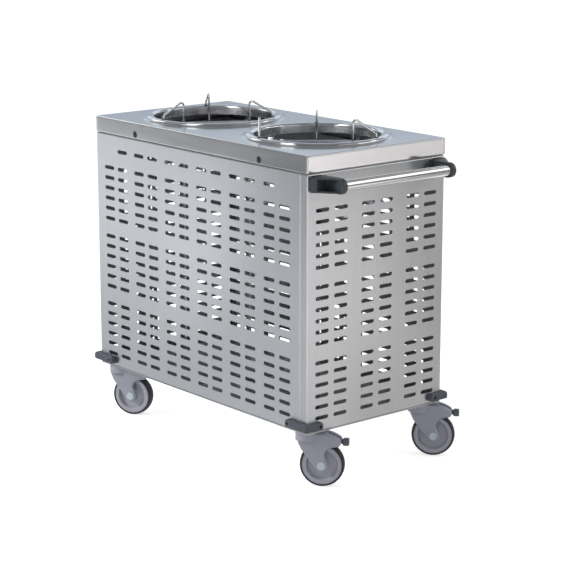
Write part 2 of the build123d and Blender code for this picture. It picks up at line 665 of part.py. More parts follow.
def spring_path():
    """A coil between two upright ends, as straight runs and tangent arcs."""
    run = 2 * SPRING_WIRE_RADIUS
    low = YOKE_TOP + run
    high = BAND_BOTTOM - run
    coil_low = low + SPRING_BEND
    coil_high = high - SPRING_BEND
    halves = 2 * SPRING_TURNS
    rise = (coil_high - coil_low) / halves
    slope = math.atan2(rise, math.pi * SPRING_COIL_RADIUS)
    up = Vector(0, 0, 1)

    def place(half):
        return Vector(*polar(SPRING_COIL_RADIUS, 180 * half, coil_low + rise * half))

    def heading(half):
        return Vector(*polar(math.cos(slope), 180 * half + 90, math.sin(slope)))

    foot = place(0) - heading(0) * SPRING_BEND - up * SPRING_BEND
    head = place(halves) + heading(halves) * SPRING_BEND + up * SPRING_BEND
    path = [Line((foot.X, foot.Y, YOKE_TOP), foot)]
    path += two_arcs(foot, up, place(0), heading(0))
    for half in range(halves):
        path += two_arcs(place(half), heading(half), place(half + 1), heading(half + 1))
    path += two_arcs(place(halves), heading(halves), head, up)
    path.append(Line(head, (head.X, head.Y, BAND_BOTTOM)))
    return Wire(path)


def least_gap(path, wire_radius, samples=600):
    """The smallest clear space between stretches of a tube that aren't neighbours along it."""
    points = [path @ (step / samples) for step in range(samples + 1)]
    apart = math.ceil(8 * wire_radius / path.length * samples)
    gaps = []
    for step, point in enumerate(points):
        gaps += [(other - point).length for other in points[step + apart:]]
    return min(gaps) - 2 * wire_radius


def make_spring():
    path = spring_path()
    print("spring: least gap between turns", round(least_gap(path, SPRING_WIRE_RADIUS), 2), "mm")
    start = Plane(path @ 0, z_dir=(0, 0, 1))
    return sweep(start * Circle(SPRING_WIRE_RADIUS), path=path)


def place_springs(spring, guide_angle):
    for arm in range(3):
        for turn in (-SPRING_ANGLE, SPRING_ANGLE):
            yield Pos(*polar(SPRING_PLACE, guide_angle + 60 + 120 * arm + turn)) * spring


# Casters: built with the swivel axis on Z and the trail along +X, then turned and moved.
def wheel_solid():
    profile = Polyline(
        (AXLE_RADIUS + RUNNING_GAP, -HUB_HALF_WIDTH),
        (HUB_RADIUS, -HUB_HALF_WIDTH),
        (HUB_RADIUS + 3, -WEB_HALF_WIDTH),
        (DISH_RADIUS - 3, -WEB_HALF_WIDTH),
        (DISH_RADIUS, -RIM_HALF_WIDTH),
        (RIM_RADIUS, -RIM_HALF_WIDTH),
        (RIM_RADIUS, RIM_HALF_WIDTH),
        (DISH_RADIUS, RIM_HALF_WIDTH),
        (DISH_RADIUS - 3, WEB_HALF_WIDTH),
        (HUB_RADIUS + 3, WEB_HALF_WIDTH),
        (HUB_RADIUS, HUB_HALF_WIDTH),
        (AXLE_RADIUS + RUNNING_GAP, HUB_HALF_WIDTH),
        close=True,
    )
    return revolve(Plane.XZ * make_face(profile), Axis.Z)


def tyre_solid():
    edge = 4.0
    with BuildLine() as profile:
        Polyline(
            (WHEEL_RADIUS - edge, -TYRE_HALF_WIDTH),
            (RIM_RADIUS, -TYRE_HALF_WIDTH),
            (RIM_RADIUS, TYRE_HALF_WIDTH),
            (WHEEL_RADIUS - edge, TYRE_HALF_WIDTH),
        )
        ThreePointArc(
            (WHEEL_RADIUS - edge, TYRE_HALF_WIDTH),
            (WHEEL_RADIUS, 0),
            (WHEEL_RADIUS - edge, -TYRE_HALF_WIDTH),
        )
    return revolve(Plane.XZ * make_face(profile.line), Axis.Z)


def fork_profile():
    """Side outline from the axle: boss, back edge to the head, crown, beak and hooked cut-out."""
    crown = FORK_TOP - WHEEL_RADIUS - 3
    boss_left = polar(FORK_BOSS_RADIUS, 215)[:2]
    boss_low = polar(FORK_BOSS_RADIUS, 297)[:2]
    boss_right = polar(FORK_BOSS_RADIUS, 20)[:2]
    with BuildLine() as outline:
        ThreePointArc(boss_left, boss_low, boss_right)
        Line(boss_right, (9, 24))
        ThreePointArc((9, 24), (12, 42), (26, 52))
        Line((26, 52), (46, 56))
        ThreePointArc((46, 56), (52.5, 64), (50, 75))
        ThreePointArc((50, 75), (30, 86), (4, crown))
        Polyline((4, crown), (-68, crown), (-66, 66), (-57, 46), boss_left)
    return make_face(outline.line)


def place_caster(shape, caster):
    x, y, angle, _ = CASTERS[caster]
    return Pos(x, y, 0) * Rot(0, 0, angle) * shape


def along_axle(shape):
    """Turn a shape made about Z onto the axle, which runs along Y."""
    return Pos(TRAIL, 0, WHEEL_RADIUS) * Rot(90, 0, 0) * shape


def pedal_hinge():
    return (TRAIL + 26, WHEEL_RADIUS + 78)


def make_fork(braked):
    side = Plane((TRAIL, FORK_HALF_WIDTH, WHEEL_RADIUS), x_dir=(1, 0, 0), z_dir=(0, -1, 0))
    fork = extrude(side * fork_profile(), 2 * FORK_HALF_WIDTH)
    sides = fork.faces().filter_by(Axis.Y).sort_by(Axis.Y)
    fork = fillet(sides[0].edges() + sides[-1].edges(), FORK_ROUND)
    fork += Pos(0, 0, (FORK_HEAD_BOTTOM + FORK_TOP) / 2) * Cylinder(
        FORK_HEAD_RADIUS, FORK_TOP - FORK_HEAD_BOTTOM
    )
    fork -= along_axle(Cylinder(FORK_CAVITY_RADIUS, 2 * FORK_CAVITY_HALF_WIDTH))
    fork -= along_axle(Cylinder(AXLE_RADIUS + RUNNING_GAP, 4 * FORK_HALF_WIDTH))
    bore_height = FORK_TOP - PIVOT_BOTTOM + 1
    fork -= Pos(0, 0, FORK_TOP - bore_height / 2) * Cylinder(PIVOT_RADIUS + RUNNING_GAP, bore_height)
    if braked:
        hinge_x, hinge_z = pedal_hinge()
        slot_start = hinge_x - 10
        fork -= slab(slot_start, hinge_x + 90, -PEDAL_SLOT_HALF_WIDTH, PEDAL_SLOT_HALF_WIDTH, 100, 200)
        pin_hole = Rot(90, 0, 0) * Cylinder(PEDAL_PIN_RADIUS + RUNNING_GAP, 2 * PEDAL_PIN_HALF_LENGTH + 1)
        fork -= Pos(hinge_x, 0, hinge_z) * pin_hole
    return fork


def make_pedal():
    """A lever in the fork's crown: pin, arm and foot knob in one moulding."""
    hinge_x, hinge_z = pedal_hinge()
    arm = Polyline(
        (hinge_x - 5, hinge_z - 5),
        (hinge_x - 5, hinge_z + 4),
        (hinge_x + 4, hinge_z + 4.5),
        (hinge_x + 31, hinge_z - 7),
        (hinge_x + 31, hinge_z - 18),
        (hinge_x + 18, hinge_z - 14),
        (hinge_x + 4, hinge_z - 6),
        close=True,
    )
    plane = Plane((0, PEDAL_HALF_WIDTH, 0), x_dir=(1, 0, 0), z_dir=(0, -1, 0))
    pedal = extrude(plane * make_face(arm), 2 * PEDAL_HALF_WIDTH)
    knob = slab(hinge_x + 31, hinge_x + 48, -KNOB_HALF_WIDTH, KNOB_HALF_WIDTH, hinge_z - 22, hinge_z - 3)
    pedal += fillet(knob.edges(), 3)
    pin = Rot(90, 0, 0) * Cylinder(PEDAL_PIN_RADIUS, 2 * PEDAL_PIN_HALF_LENGTH)
    return pedal + Pos(hinge_x, 0, hinge_z) * pin


def make_axle():
    length = 2 * FORK_HALF_WIDTH
    axle = Cylinder(AXLE_RADIUS, length)
    cap = fillet(Cylinder(AXLE_CAP_RADIUS, AXLE_CAP).edges().group_by(Axis.Z)[-1], 1.5)
    axle += Pos(0, 0, (length + AXLE_CAP) / 2) * cap
    axle += Pos(0, 0, -(length + AXLE_CAP) / 2) * Rot(180, 0, 0) * cap
    return along_axle(axle)


def make_pivot():
    flange_bottom = BASE_BOTTOM - PIVOT_FLANGE
    stud_top = BASE_BOTTOM + BASE_SHEET + NUT_HEIGHT + 3
    pivot = rod((0, 0, PIVOT_BOTTOM), (0, 0, stud_top), PIVOT_RADIUS)
    return pivot + rod((0, 0, flange_bottom), (0, 0, BASE_BOTTOM), PIVOT_FLANGE_RADIUS)


def make_nut():
    bottom = BASE_BOTTOM + BASE_SHEET
    nut = extrude(RegularPolygon(NUT_ACROSS_CORNERS / 2, 6), NUT_HEIGHT)
    return Pos(0, 0, bottom) * (nut - Cylinder(PIVOT_RADIUS, 4 * NUT_HEIGHT))


save("cover", make_cover())
group("cover_plugs", make_plugs())
front_panel = make_front_panel()
save("front_panel", front_panel)
save("rear_panel", mirror(front_panel, Plane.XZ))
save("handle_end_panel", make_end_panel(1))
save("far_end_panel", make_end_panel(-1))
save("base_plate", make_base())
group("corner_posts", make_posts())
group("top_rails", make_rails())
for end, end_name in ((1, "handle"), (-1, "far")):
    for side, side_name in ((-1, "front"), (1, "rear")):
        save(f"bumper_{side_name}_{end_name}", make_bumper(end, side))
group("bumper_screws", make_bumper_screws())
save("handle_tube", make_handle_tube())
save("handle_bracket_front", make_bracket(-1))
save("handle_bracket_rear", make_bracket(1))
group("handle_bolts", make_handle_bolts())
spring = make_spring()
for well, (x, angle) in WELLS.items():
    save(f"well_ring_{well}", Pos(x, 0, 0) * make_ring(angle))
    group(f"guide_bushes_{well}", [Pos(x, 0, 0) * bush for bush in make_bushes(angle)])
    group(f"well_frame_{well}", [Pos(x, 0, 0) * piece for piece in make_well_frame(angle)])
    save(f"plate_carrier_{well}", Pos(x, 0, 0) * make_carrier(angle))
    group(f"carrier_glides_{well}", [Pos(x, 0, 0) * glide for glide in make_glides(angle)])
    group(f"carrier_springs_{well}", [Pos(x, 0, 0) * piece for piece in place_springs(spring, angle)])
    for guide in range(3):
        turned = TURNED_GUIDE if (well, guide) == TURNED_PLACE else 0.0
        save(f"plate_guide_{well}_{guide + 1}", make_guide(x, angle + 120 * guide, turned))
for caster, (x, y, _, braked) in CASTERS.items():
    save(f"caster_pivot_{caster}", Pos(x, y, 0) * make_pivot())
    save(f"caster_fork_{caster}", place_caster(make_fork(braked), caster))
    save(f"caster_axle_{caster}", place_caster(make_axle(), caster))
    save(f"caster_wheel_{caster}", place_caster(along_axle(wheel_solid()), caster))
    save(f"caster_tyre_{caster}", place_caster(along_axle(tyre_solid()), caster))
    if braked:
        save(f"brake_pedal_{caster}", place_caster(make_pedal(), caster))
group("caster_nuts", [Pos(x, y, 0) * make_nut() for x, y, _, _ in CASTERS.values()])
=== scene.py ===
# A plate dispenser trolley: a slotted steel cabinet on casters, with two sprung wells in its deck.
# Metres, +X towards the handle end, -Y towards the long front side, +Z up from the floor.
import json
import math

import bmesh
import bpy
import numpy as np
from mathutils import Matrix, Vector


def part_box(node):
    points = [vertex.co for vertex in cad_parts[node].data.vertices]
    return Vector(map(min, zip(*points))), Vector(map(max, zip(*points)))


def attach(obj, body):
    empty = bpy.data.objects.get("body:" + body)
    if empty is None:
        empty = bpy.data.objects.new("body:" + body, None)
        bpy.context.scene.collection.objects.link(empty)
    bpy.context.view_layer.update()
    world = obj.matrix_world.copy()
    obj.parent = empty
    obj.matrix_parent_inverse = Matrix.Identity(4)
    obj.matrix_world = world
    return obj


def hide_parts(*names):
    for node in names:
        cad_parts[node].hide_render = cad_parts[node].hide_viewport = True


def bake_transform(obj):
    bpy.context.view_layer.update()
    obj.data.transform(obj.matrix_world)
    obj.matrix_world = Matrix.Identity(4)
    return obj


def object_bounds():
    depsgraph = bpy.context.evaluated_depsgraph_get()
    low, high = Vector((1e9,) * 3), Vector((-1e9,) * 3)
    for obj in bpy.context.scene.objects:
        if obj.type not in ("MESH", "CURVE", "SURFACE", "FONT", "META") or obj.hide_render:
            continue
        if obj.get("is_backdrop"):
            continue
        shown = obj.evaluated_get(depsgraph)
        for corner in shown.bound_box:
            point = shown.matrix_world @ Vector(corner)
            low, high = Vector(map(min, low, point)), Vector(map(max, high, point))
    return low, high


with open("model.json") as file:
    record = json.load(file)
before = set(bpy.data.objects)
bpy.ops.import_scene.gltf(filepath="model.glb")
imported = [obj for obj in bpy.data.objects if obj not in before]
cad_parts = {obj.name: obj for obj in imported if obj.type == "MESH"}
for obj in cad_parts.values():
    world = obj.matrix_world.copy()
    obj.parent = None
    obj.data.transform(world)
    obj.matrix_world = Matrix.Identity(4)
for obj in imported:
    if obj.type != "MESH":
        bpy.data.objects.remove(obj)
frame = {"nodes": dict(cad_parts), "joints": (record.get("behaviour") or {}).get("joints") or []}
nodes = frame["nodes"]
joints = {joint["name"]: joint for joint in frame["joints"]}
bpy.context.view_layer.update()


# Base plate and inner frame
# A cut steel plate with four folded corner angles standing on it, and four channel rails on these,
# under the deck. Each well has a frame of three upright rails. The steel has a plain mill finish, a
# little duller and darker than the outer panels.
class Shade:
    """A shader socket: an operator on it adds a Math node, and node() adds any other kind."""

    def __init__(self, tree, socket=None):
        self.tree = tree
        self.socket = socket

    def node(self, kind, settings, sockets, output=0):
        """Add a node: first its settings, then its sockets as values or links. Gives one output."""
        made = self.tree.nodes.new(kind)
        for name, value in settings.items():
            setattr(made, name, value)
        for name, value in sockets.items():
            if isinstance(value, Shade):
                self.tree.links.new(value.socket, made.inputs[name])
            else:
                made.inputs[name].default_value = value
        return Shade(self.tree, made.outputs[output]) if output is not None else None

    def math(self, operation, *values):
        """Work out one value from others."""
        return self.node("ShaderNodeMath", {"operation": operation}, dict(enumerate(values)))

    def __add__(self, other):
        return self.math("ADD", self, other)

    __radd__ = __add__

    def __mul__(self, other):
        return self.math("MULTIPLY", self, other)

    __rmul__ = __mul__

    def mix(self, factor, first, second):
        """Blend two colours."""
        sockets = {0: factor, 6: (*first, 1.0), 7: (*second, 1.0)}
        return self.node("ShaderNodeMix", {"data_type": "RGBA"}, sockets, 2)

    def noise(self, cells, detail):
        """Cloudy noise on Object coordinates, with a number of cells a metre along X, Y and Z."""
        place = self.node("ShaderNodeTexCoord", {}, {}, "Object")
        place = self.node("ShaderNodeMapping", {}, {"Vector": place, "Scale": cells})
        return self.node("ShaderNodeTexNoise", {}, {"Vector": place, "Scale": 1.0, "Detail": detail}, "Fac")

    def below(self, height, fade):
        """1 below a height in Object coordinates, 0 a fade above it, and a straight ramp between."""
        place = self.node("ShaderNodeTexCoord", {}, {}, "Object")
        level = self.node("ShaderNodeSeparateXYZ", {}, {"Vector": place}, "Z")
        return self.node("ShaderNodeMapRange", {}, {0: level, 1: height, 2: height + fade, 3: 1.0, 4: 0.0})

    def bump(self, height, strength, distance, edge=0.0):
        """A normal from a height, on a surface whose edges are softened to a radius."""
        sockets = {"Height": height, "Strength": strength, "Distance": distance}
        if edge:
            sockets["Normal"] = self.node("ShaderNodeBevel", {"samples": 4}, {"Radius": edge})
        return self.node("ShaderNodeBump", {}, sockets)


def new_finish(name, constants):
    """A material with one Principled shader, constants set on its sockets by name."""
    material = bpy.data.materials.new(name)
    material.use_nodes = True
    shader = material.node_tree.nodes["Principled BSDF"]
    for socket, value in constants.items():
        shader.inputs[socket].default_value = value
    return material, Shade(material.node_tree), shader


def feed(shader, shade, colour, roughness, normal):
    """Link what changes over the surface to the Principled shader."""
    for socket, value in (("Base Color", colour), ("Roughness", roughness), ("Normal", normal)):
        shade.tree.links.new(value.socket, shader.inputs[socket])


def mill_steel(name, dark, light):
    """Cold-rolled sheet: cloudy tone, faint rolling lines along X, uneven gloss."""
    material, shade, shader = new_finish(name, {"Metallic": 1.0})
    cloud = shade.noise((9.0, 9.0, 9.0), 4.0)
    lines = shade.noise((8.0, 420.0, 420.0), 3.0)
    colour = shade.mix(0.7 * cloud + 0.3 * lines, dark, light)
    roughness = 0.34 + 0.14 * cloud + 0.06 * lines
    feed(shader, shade, colour, roughness, shade.bump(lines, strength=0.12, distance=0.0002))
    return material


def dress(material, *names):
    """Give CAD nodes a finish."""
    for name in names:
        slots = nodes[name].data.materials
        slots.clear()
        slots.append(material)


plate_steel = mill_steel("plate_steel", (0.46, 0.46, 0.47), (0.62, 0.62, 0.63))
dress(plate_steel, "base_plate")
frame_steel = mill_steel("frame_steel", (0.28, 0.285, 0.295), (0.40, 0.405, 0.42))
dress(frame_steel, "corner_posts", "top_rails", "well_frame_near", "well_frame_far")
fastener_steel = mill_steel("fastener_steel", (0.45, 0.45, 0.46), (0.62, 0.62, 0.63))
caster_names = [name.removeprefix("swivel_") for name in joints if name.startswith("swivel_")]
dress(fastener_steel, "handle_bolts", "caster_nuts")
dress(fastener_steel, *[f"caster_pivot_{caster}" for caster in caster_names])


# Casters
# Moulded grey forks that swivel on a pivot, with a pressed-in axle under pale caps. The wheel is a
# light grey nylon rim with a dished web, and a thin band of dark rubber is moulded round it.
crease_angle = math.radians(40)
merge_distance = 1e-6
wheel_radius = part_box("caster_tyre_front_handle")[1].z / 2
wheel_steps = 96
wheel_rounding = 0.0012
bore_radius = 0.00505
hub_radius, hub_half_width = 0.0150, 0.018
web_inner, web_outer, web_half_width = 0.0270, 0.0395, 0.0035
rim_inner, rim_outer, rim_half_width = 0.0448, 0.0532, 0.015
rim_radius, tyre_seat_half_width = 0.0557, 0.0142
tyre_half_width, tyre_side = 0.016, 0.0040
tread_half_width, tread_drop = 0.0085, 0.0006


def plastic(name, colour, shadow, roughness, grain, speckles=900.0, edge=0.0):
    """Moulded plastic: slightly mottled colour, fine spark-eroded grain, gloss that varies a little."""
    material, shade, shader = new_finish(name, {"Specular IOR Level": 0.45})
    mottle = shade.noise((22.0, 22.0, 22.0), 3.0)
    spark = shade.noise((speckles, speckles, speckles), 2.0)
    tone = shade.mix(0.75 * mottle + 0.25 * spark, shadow, colour)
    feed(shader, shade, tone, roughness - 0.08 + 0.16 * mottle, shade.bump(spark, grain, 0.0003, edge))
    return material


def piece(name, points, faces, body, material):
    """A mesh object from arrays of points and faces, smooth below the crease angle, on a body if given."""
    mesh = bpy.data.meshes.new(name)
    mesh.from_pydata(points.tolist(), [], [face for group in faces for face in group.tolist()])
    work = bmesh.new()
    work.from_mesh(mesh)
    bmesh.ops.remove_doubles(work, verts=work.verts, dist=merge_distance)
    work.to_mesh(mesh)
    work.free()
    mesh.polygons.foreach_set("use_smooth", np.ones(len(mesh.polygons), bool))
    mesh.set_sharp_from_angle(angle=crease_angle)
    mesh.materials.append(material)
    made = bpy.data.objects.new(name, mesh)
    bpy.context.scene.collection.objects.link(made)
    if body:
        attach(made, body)
    return made


def grid_faces(rows, columns, close_rows=False, close_columns=False):
    """The quads of a grid of points kept row by row, joined end to start where asked."""
    row = np.arange(rows if close_rows else rows - 1)[:, None]
    column = np.arange(columns if close_columns else columns - 1)[None, :]
    next_row = (row + 1) % rows
    next_column = (column + 1) % columns
    corners = (
        row * columns + column,
        next_row * columns + column,
        next_row * columns + next_column,
        row * columns + next_column,
    )
    return np.stack(np.broadcast_arrays(*corners), -1).reshape(-1, 4)


def rounded(corners, reach, steps=5, most_of_side=0.45):
    """A closed outline whose corners are drawn as curves: at each corner P, with A and C the points
    at most reach before and after it, the curve is (1-t)^2 A + 2t(1-t) P + t^2 C."""
    corners = np.array(corners, float)
    before = np.roll(corners, 1, 0) - corners
    after = np.roll(corners, -1, 0) - corners
    ways = []
    for way in (before, after):
        length = np.linalg.norm(way, axis=1, keepdims=True)
        ways.append(corners + way / length * np.minimum(reach, most_of_side * length))
    t = np.linspace(0, 1, steps)[None, :, None]
    start, end = ways[0][:, None], ways[1][:, None]
    curve = (1 - t) ** 2 * start + 2 * t * (1 - t) * corners[:, None] + t**2 * end
    return curve.reshape(-1, 2)


def spun(outline, steps):
    """A closed outline of (radius, height) points spun round the Z axis, one row for each turn step."""
    turn = np.linspace(0, 2 * np.pi, steps, endpoint=False)[:, None]
    radius, height = outline[None, :, 0], outline[None, :, 1]
    level = np.broadcast_to(height, (steps, len(outline)))
    points = np.stack([radius * np.cos(turn), radius * np.sin(turn), level], -1)
    return points.reshape(-1, 3), grid_faces(steps, len(outline), True, True)[:, ::-1]


def on_axle(points, caster):
    """Turn points made about Z onto a caster's axle, with +Z along the axle."""
    roll = joints[f"roll_{caster}"]
    axle = np.array(roll["axis"])
    up = np.array([0.0, 0.0, 1.0])
    basis = np.stack([np.cross(up, axle), up, axle])
    return points @ basis + np.array(roll["pos_m"])


# Half of each outline as (radius, distance from the wheel's middle), then the other half mirrored.
rim_outline = [
    (bore_radius, hub_half_width),
    (hub_radius, hub_half_width),
    (0.0175, 0.0075),
    (web_inner, web_half_width),
    (web_outer, web_half_width),
    (0.0430, 0.0135),
    (rim_inner, rim_half_width),
    (rim_outer, rim_half_width),
    (0.0542, tyre_seat_half_width),
    (rim_radius, tyre_seat_half_width),
]
rim_outline += [(radius, -height) for radius, height in reversed(rim_outline)]
tyre_outline = [
    (rim_radius, tyre_half_width),
    (rim_radius + tyre_side, tyre_half_width),
    (wheel_radius - tread_drop, tread_half_width),
]
tyre_outline += [(wheel_radius, 0.0), *[(radius, -height) for radius, height in reversed(tyre_outline)]]
fork_plastic = plastic("fork_plastic", (0.37, 0.37, 0.43), (0.31, 0.31, 0.365), 0.46, 0.10, edge=0.004)
rim_plastic = plastic("rim_plastic", (0.42, 0.42, 0.475), (0.35, 0.35, 0.40), 0.42, 0.08)
cap_plastic = plastic("cap_plastic", (0.55, 0.62, 0.67), (0.49, 0.56, 0.61), 0.34, 0.05)
pedal_plastic = plastic("pedal_plastic", (0.105, 0.112, 0.13), (0.075, 0.08, 0.095), 0.42, 0.12, edge=0.003)
tyre_rubber = plastic("tyre_rubber", (0.020, 0.023, 0.028), (0.010, 0.012, 0.015), 0.66, 0.25, 700.0)
for caster in caster_names:
    for kind, outline, finish, slot in (
        ("wheel", rim_outline, rim_plastic, "rim_plastic"),
        ("tyre", tyre_outline, tyre_rubber, "tyre_rubber"),
    ):
        points, faces = spun(rounded(outline, wheel_rounding), wheel_steps)
        points = on_axle(points, caster)
        made = piece(f"{kind}_{caster}", points, [faces], f"wheel_{caster}", finish)
        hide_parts(f"caster_{kind}_{caster}")
    dress(fork_plastic, f"caster_fork_{caster}")
    dress(cap_plastic, f"caster_axle_{caster}")
    if f"brake_pedal_{caster}" in nodes:
        dress(pedal_plastic, f"brake_pedal_{caster}")


# Slotted panels
# Sheets of brushed stainless steel, punched with rows of short slots whose edges roll in slightly.
# Top and bottom edges are folded in. The handle-end sheet also folds round both its corners, and the
# side edges of the other sheets roll in. The inside faces are plain mill steel, made darker as painted
# shade of the cabinet's interior.
hold = 0.0008
slot_length, slot_height = 0.047, 0.0105
slot_margin = 0.0025
slot_roll = 0.0006
slot_in_pair = 0.0664
side_pairs, side_pitch = 6, 0.1501
end_pairs, end_pitch = 3, 0.1647
row_pitch = 0.031
rows_in_group = 6
group_tops = (0.7755, 0.566, 0.356)
top_row = 0.8285
panel_sheet = 0.0012
panel_bend = 0.003
panel_leg = 0.004
corner_return = 0.0285
edge_roll, edge_turn, edge_steps = 0.004, math.pi / 4, 4
x_axis, y_axis = np.array([1.0, 0.0, 0.0]), np.array([0.0, 1.0, 0.0])


def brushed_steel(name, dark, light, streaks, scratches, roughness, grain, anisotropy):
    """Brushed sheet: fine scratches, broader streaks along them, soft cloud and uneven gloss."""
    constants = {"Metallic": 1.0, "Anisotropic": anisotropy, "Anisotropic Rotation": 0.25}
    material, shade, shader = new_finish(name, constants)
    streak = shade.noise(streaks, 3.0)
    scratch = shade.noise(scratches, 2.0)
    cloud = shade.noise((3.0, 3.0, 3.0), 3.0)
    colour = shade.mix(0.45 * streak + 0.25 * scratch + 0.3 * cloud, dark, light)
    gloss = roughness + 0.06 * streak + 0.04 * cloud
    feed(shader, shade, colour, gloss, shade.bump(scratch, grain, 0.0002))
    return material


def pierced_sheet(u_lines, v_lines, holes, reach, radius, roll, skipped=None, quarter=4):
    """A sheet on a grid of lines, as (u, v, depth) points, with a slot in the cells listed in holes.

    A slot's outline is two half circles of the radius whose centres are reach left and right of the
    cell's middle. Triangles join each quarter circle to its corner of the cell, so neighbours share
    whole edges. Four loops, from 1.8 rolls outside the slot to its edge one roll deep, turn the edge in."""
    u_lines, v_lines = np.asarray(u_lines), np.asarray(v_lines)
    columns = len(v_lines)
    flat = np.stack(np.meshgrid(u_lines, v_lines, indexing="ij"), -1).reshape(-1, 2)
    kept = np.ones((len(u_lines) - 1, columns - 1), bool)
    kept[holes[:, 0], holes[:, 1]] = False
    if skipped is not None:
        kept &= ~skipped
    i, j = np.nonzero(kept)
    low_left = i * columns + j
    plain = np.stack([low_left, low_left + columns, low_left + columns + 1, low_left + 1], -1)
    turn = np.linspace(-np.pi / 2, np.pi / 2, 2 * quarter + 1)
    turn = np.concatenate([turn, turn + np.pi])
    side = np.where(np.arange(len(turn)) <= 2 * quarter, reach, -reach)
    i, j = holes.T
    middle = np.stack([u_lines[i] + u_lines[i + 1], v_lines[j] + v_lines[j + 1]], -1) / 2
    loops = []
    for grow, depth in ((1.8 * roll, 0.0), (roll, 0.0), (0.3 * roll, 0.3 * roll), (0.0, roll)):
        ring = np.stack([side + (radius + grow) * np.cos(turn), (radius + grow) * np.sin(turn)], -1)
        loop = middle[:, None] + ring
        loops.append(np.concatenate([loop, np.full((*loop.shape[:2], 1), depth)], -1))
    points = np.concatenate([np.pad(flat, ((0, 0), (0, 1))), *[loop.reshape(-1, 3) for loop in loops]])
    count = len(turn)
    first = len(flat) + np.arange(len(holes))[:, None] * count
    low_left = i * columns + j
    corner = np.stack([low_left + columns, low_left + columns + 1, low_left + 1, low_left], -1)
    step = np.arange(count)
    on_arc = step[(step != 2 * quarter) & (step != count - 1)]
    owner = np.searchsorted([quarter, 2 * quarter, 3 * quarter + 1], on_arc, side="right")
    fans = np.stack([corner[:, owner], first + on_arc + 1, first + on_arc], -1).reshape(-1, 3)
    start, end = first[:, 0], first[:, 0] + count - 1
    tips = np.concatenate([
        np.stack([corner[:, 0], corner[:, 1], start + quarter], -1),
        np.stack([corner[:, 2], corner[:, 3], start + 3 * quarter + 1], -1),
    ])
    edges = np.concatenate([
        np.stack([corner[:, 1], corner[:, 2], start + 2 * quarter + 1, start + 2 * quarter], -1),
        np.stack([corner[:, 3], corner[:, 0], start, end], -1),
    ])
    after = (step + 1) % count
    walls = []
    for level in range(len(loops) - 1):
        upper = first + level * len(holes) * count
        lower = upper + len(holes) * count
        quads = np.stack([upper + step, upper + after, lower + after, lower + step], -1)
        walls.append(quads.reshape(-1, 4))
    return points, [plain, fans, tips, edges, *walls]


def folded(distance, flat_half, bend):
    """How far along and how far in a strip lies that is flat, then bends inwards by a quarter turn.

    Past the flat half width the angle grows as arc length over the bend's radius, up to 90 degrees."""
    past = np.maximum(np.abs(distance) - flat_half, 0.0)
    angle = np.minimum(past / bend, np.pi / 2)
    straight = np.maximum(past - bend * np.pi / 2, 0.0)
    along = np.minimum(np.abs(distance), flat_half) + bend * np.sin(angle)
    inwards = bend * (1 - np.cos(angle)) + straight
    return np.sign(distance) * along, inwards


def fold_lines(flat_half, bend, leg, steps=5):
    """Grid lines of such a strip: the bend's steps and the leg's end, each with one at hold beside it."""
    arc = flat_half + bend * np.linspace(0, np.pi / 2, steps)
    return np.concatenate([[flat_half - hold], arc, [arc[-1] + leg - hold, arc[-1] + leg]])


def thicken(made, thickness):
    """Grow a sheet from its outer face inwards."""
    sheet = made.modifiers.new("sheet", "SOLIDIFY")
    sheet.thickness = thickness
    sheet.offset = -1.0
    return sheet


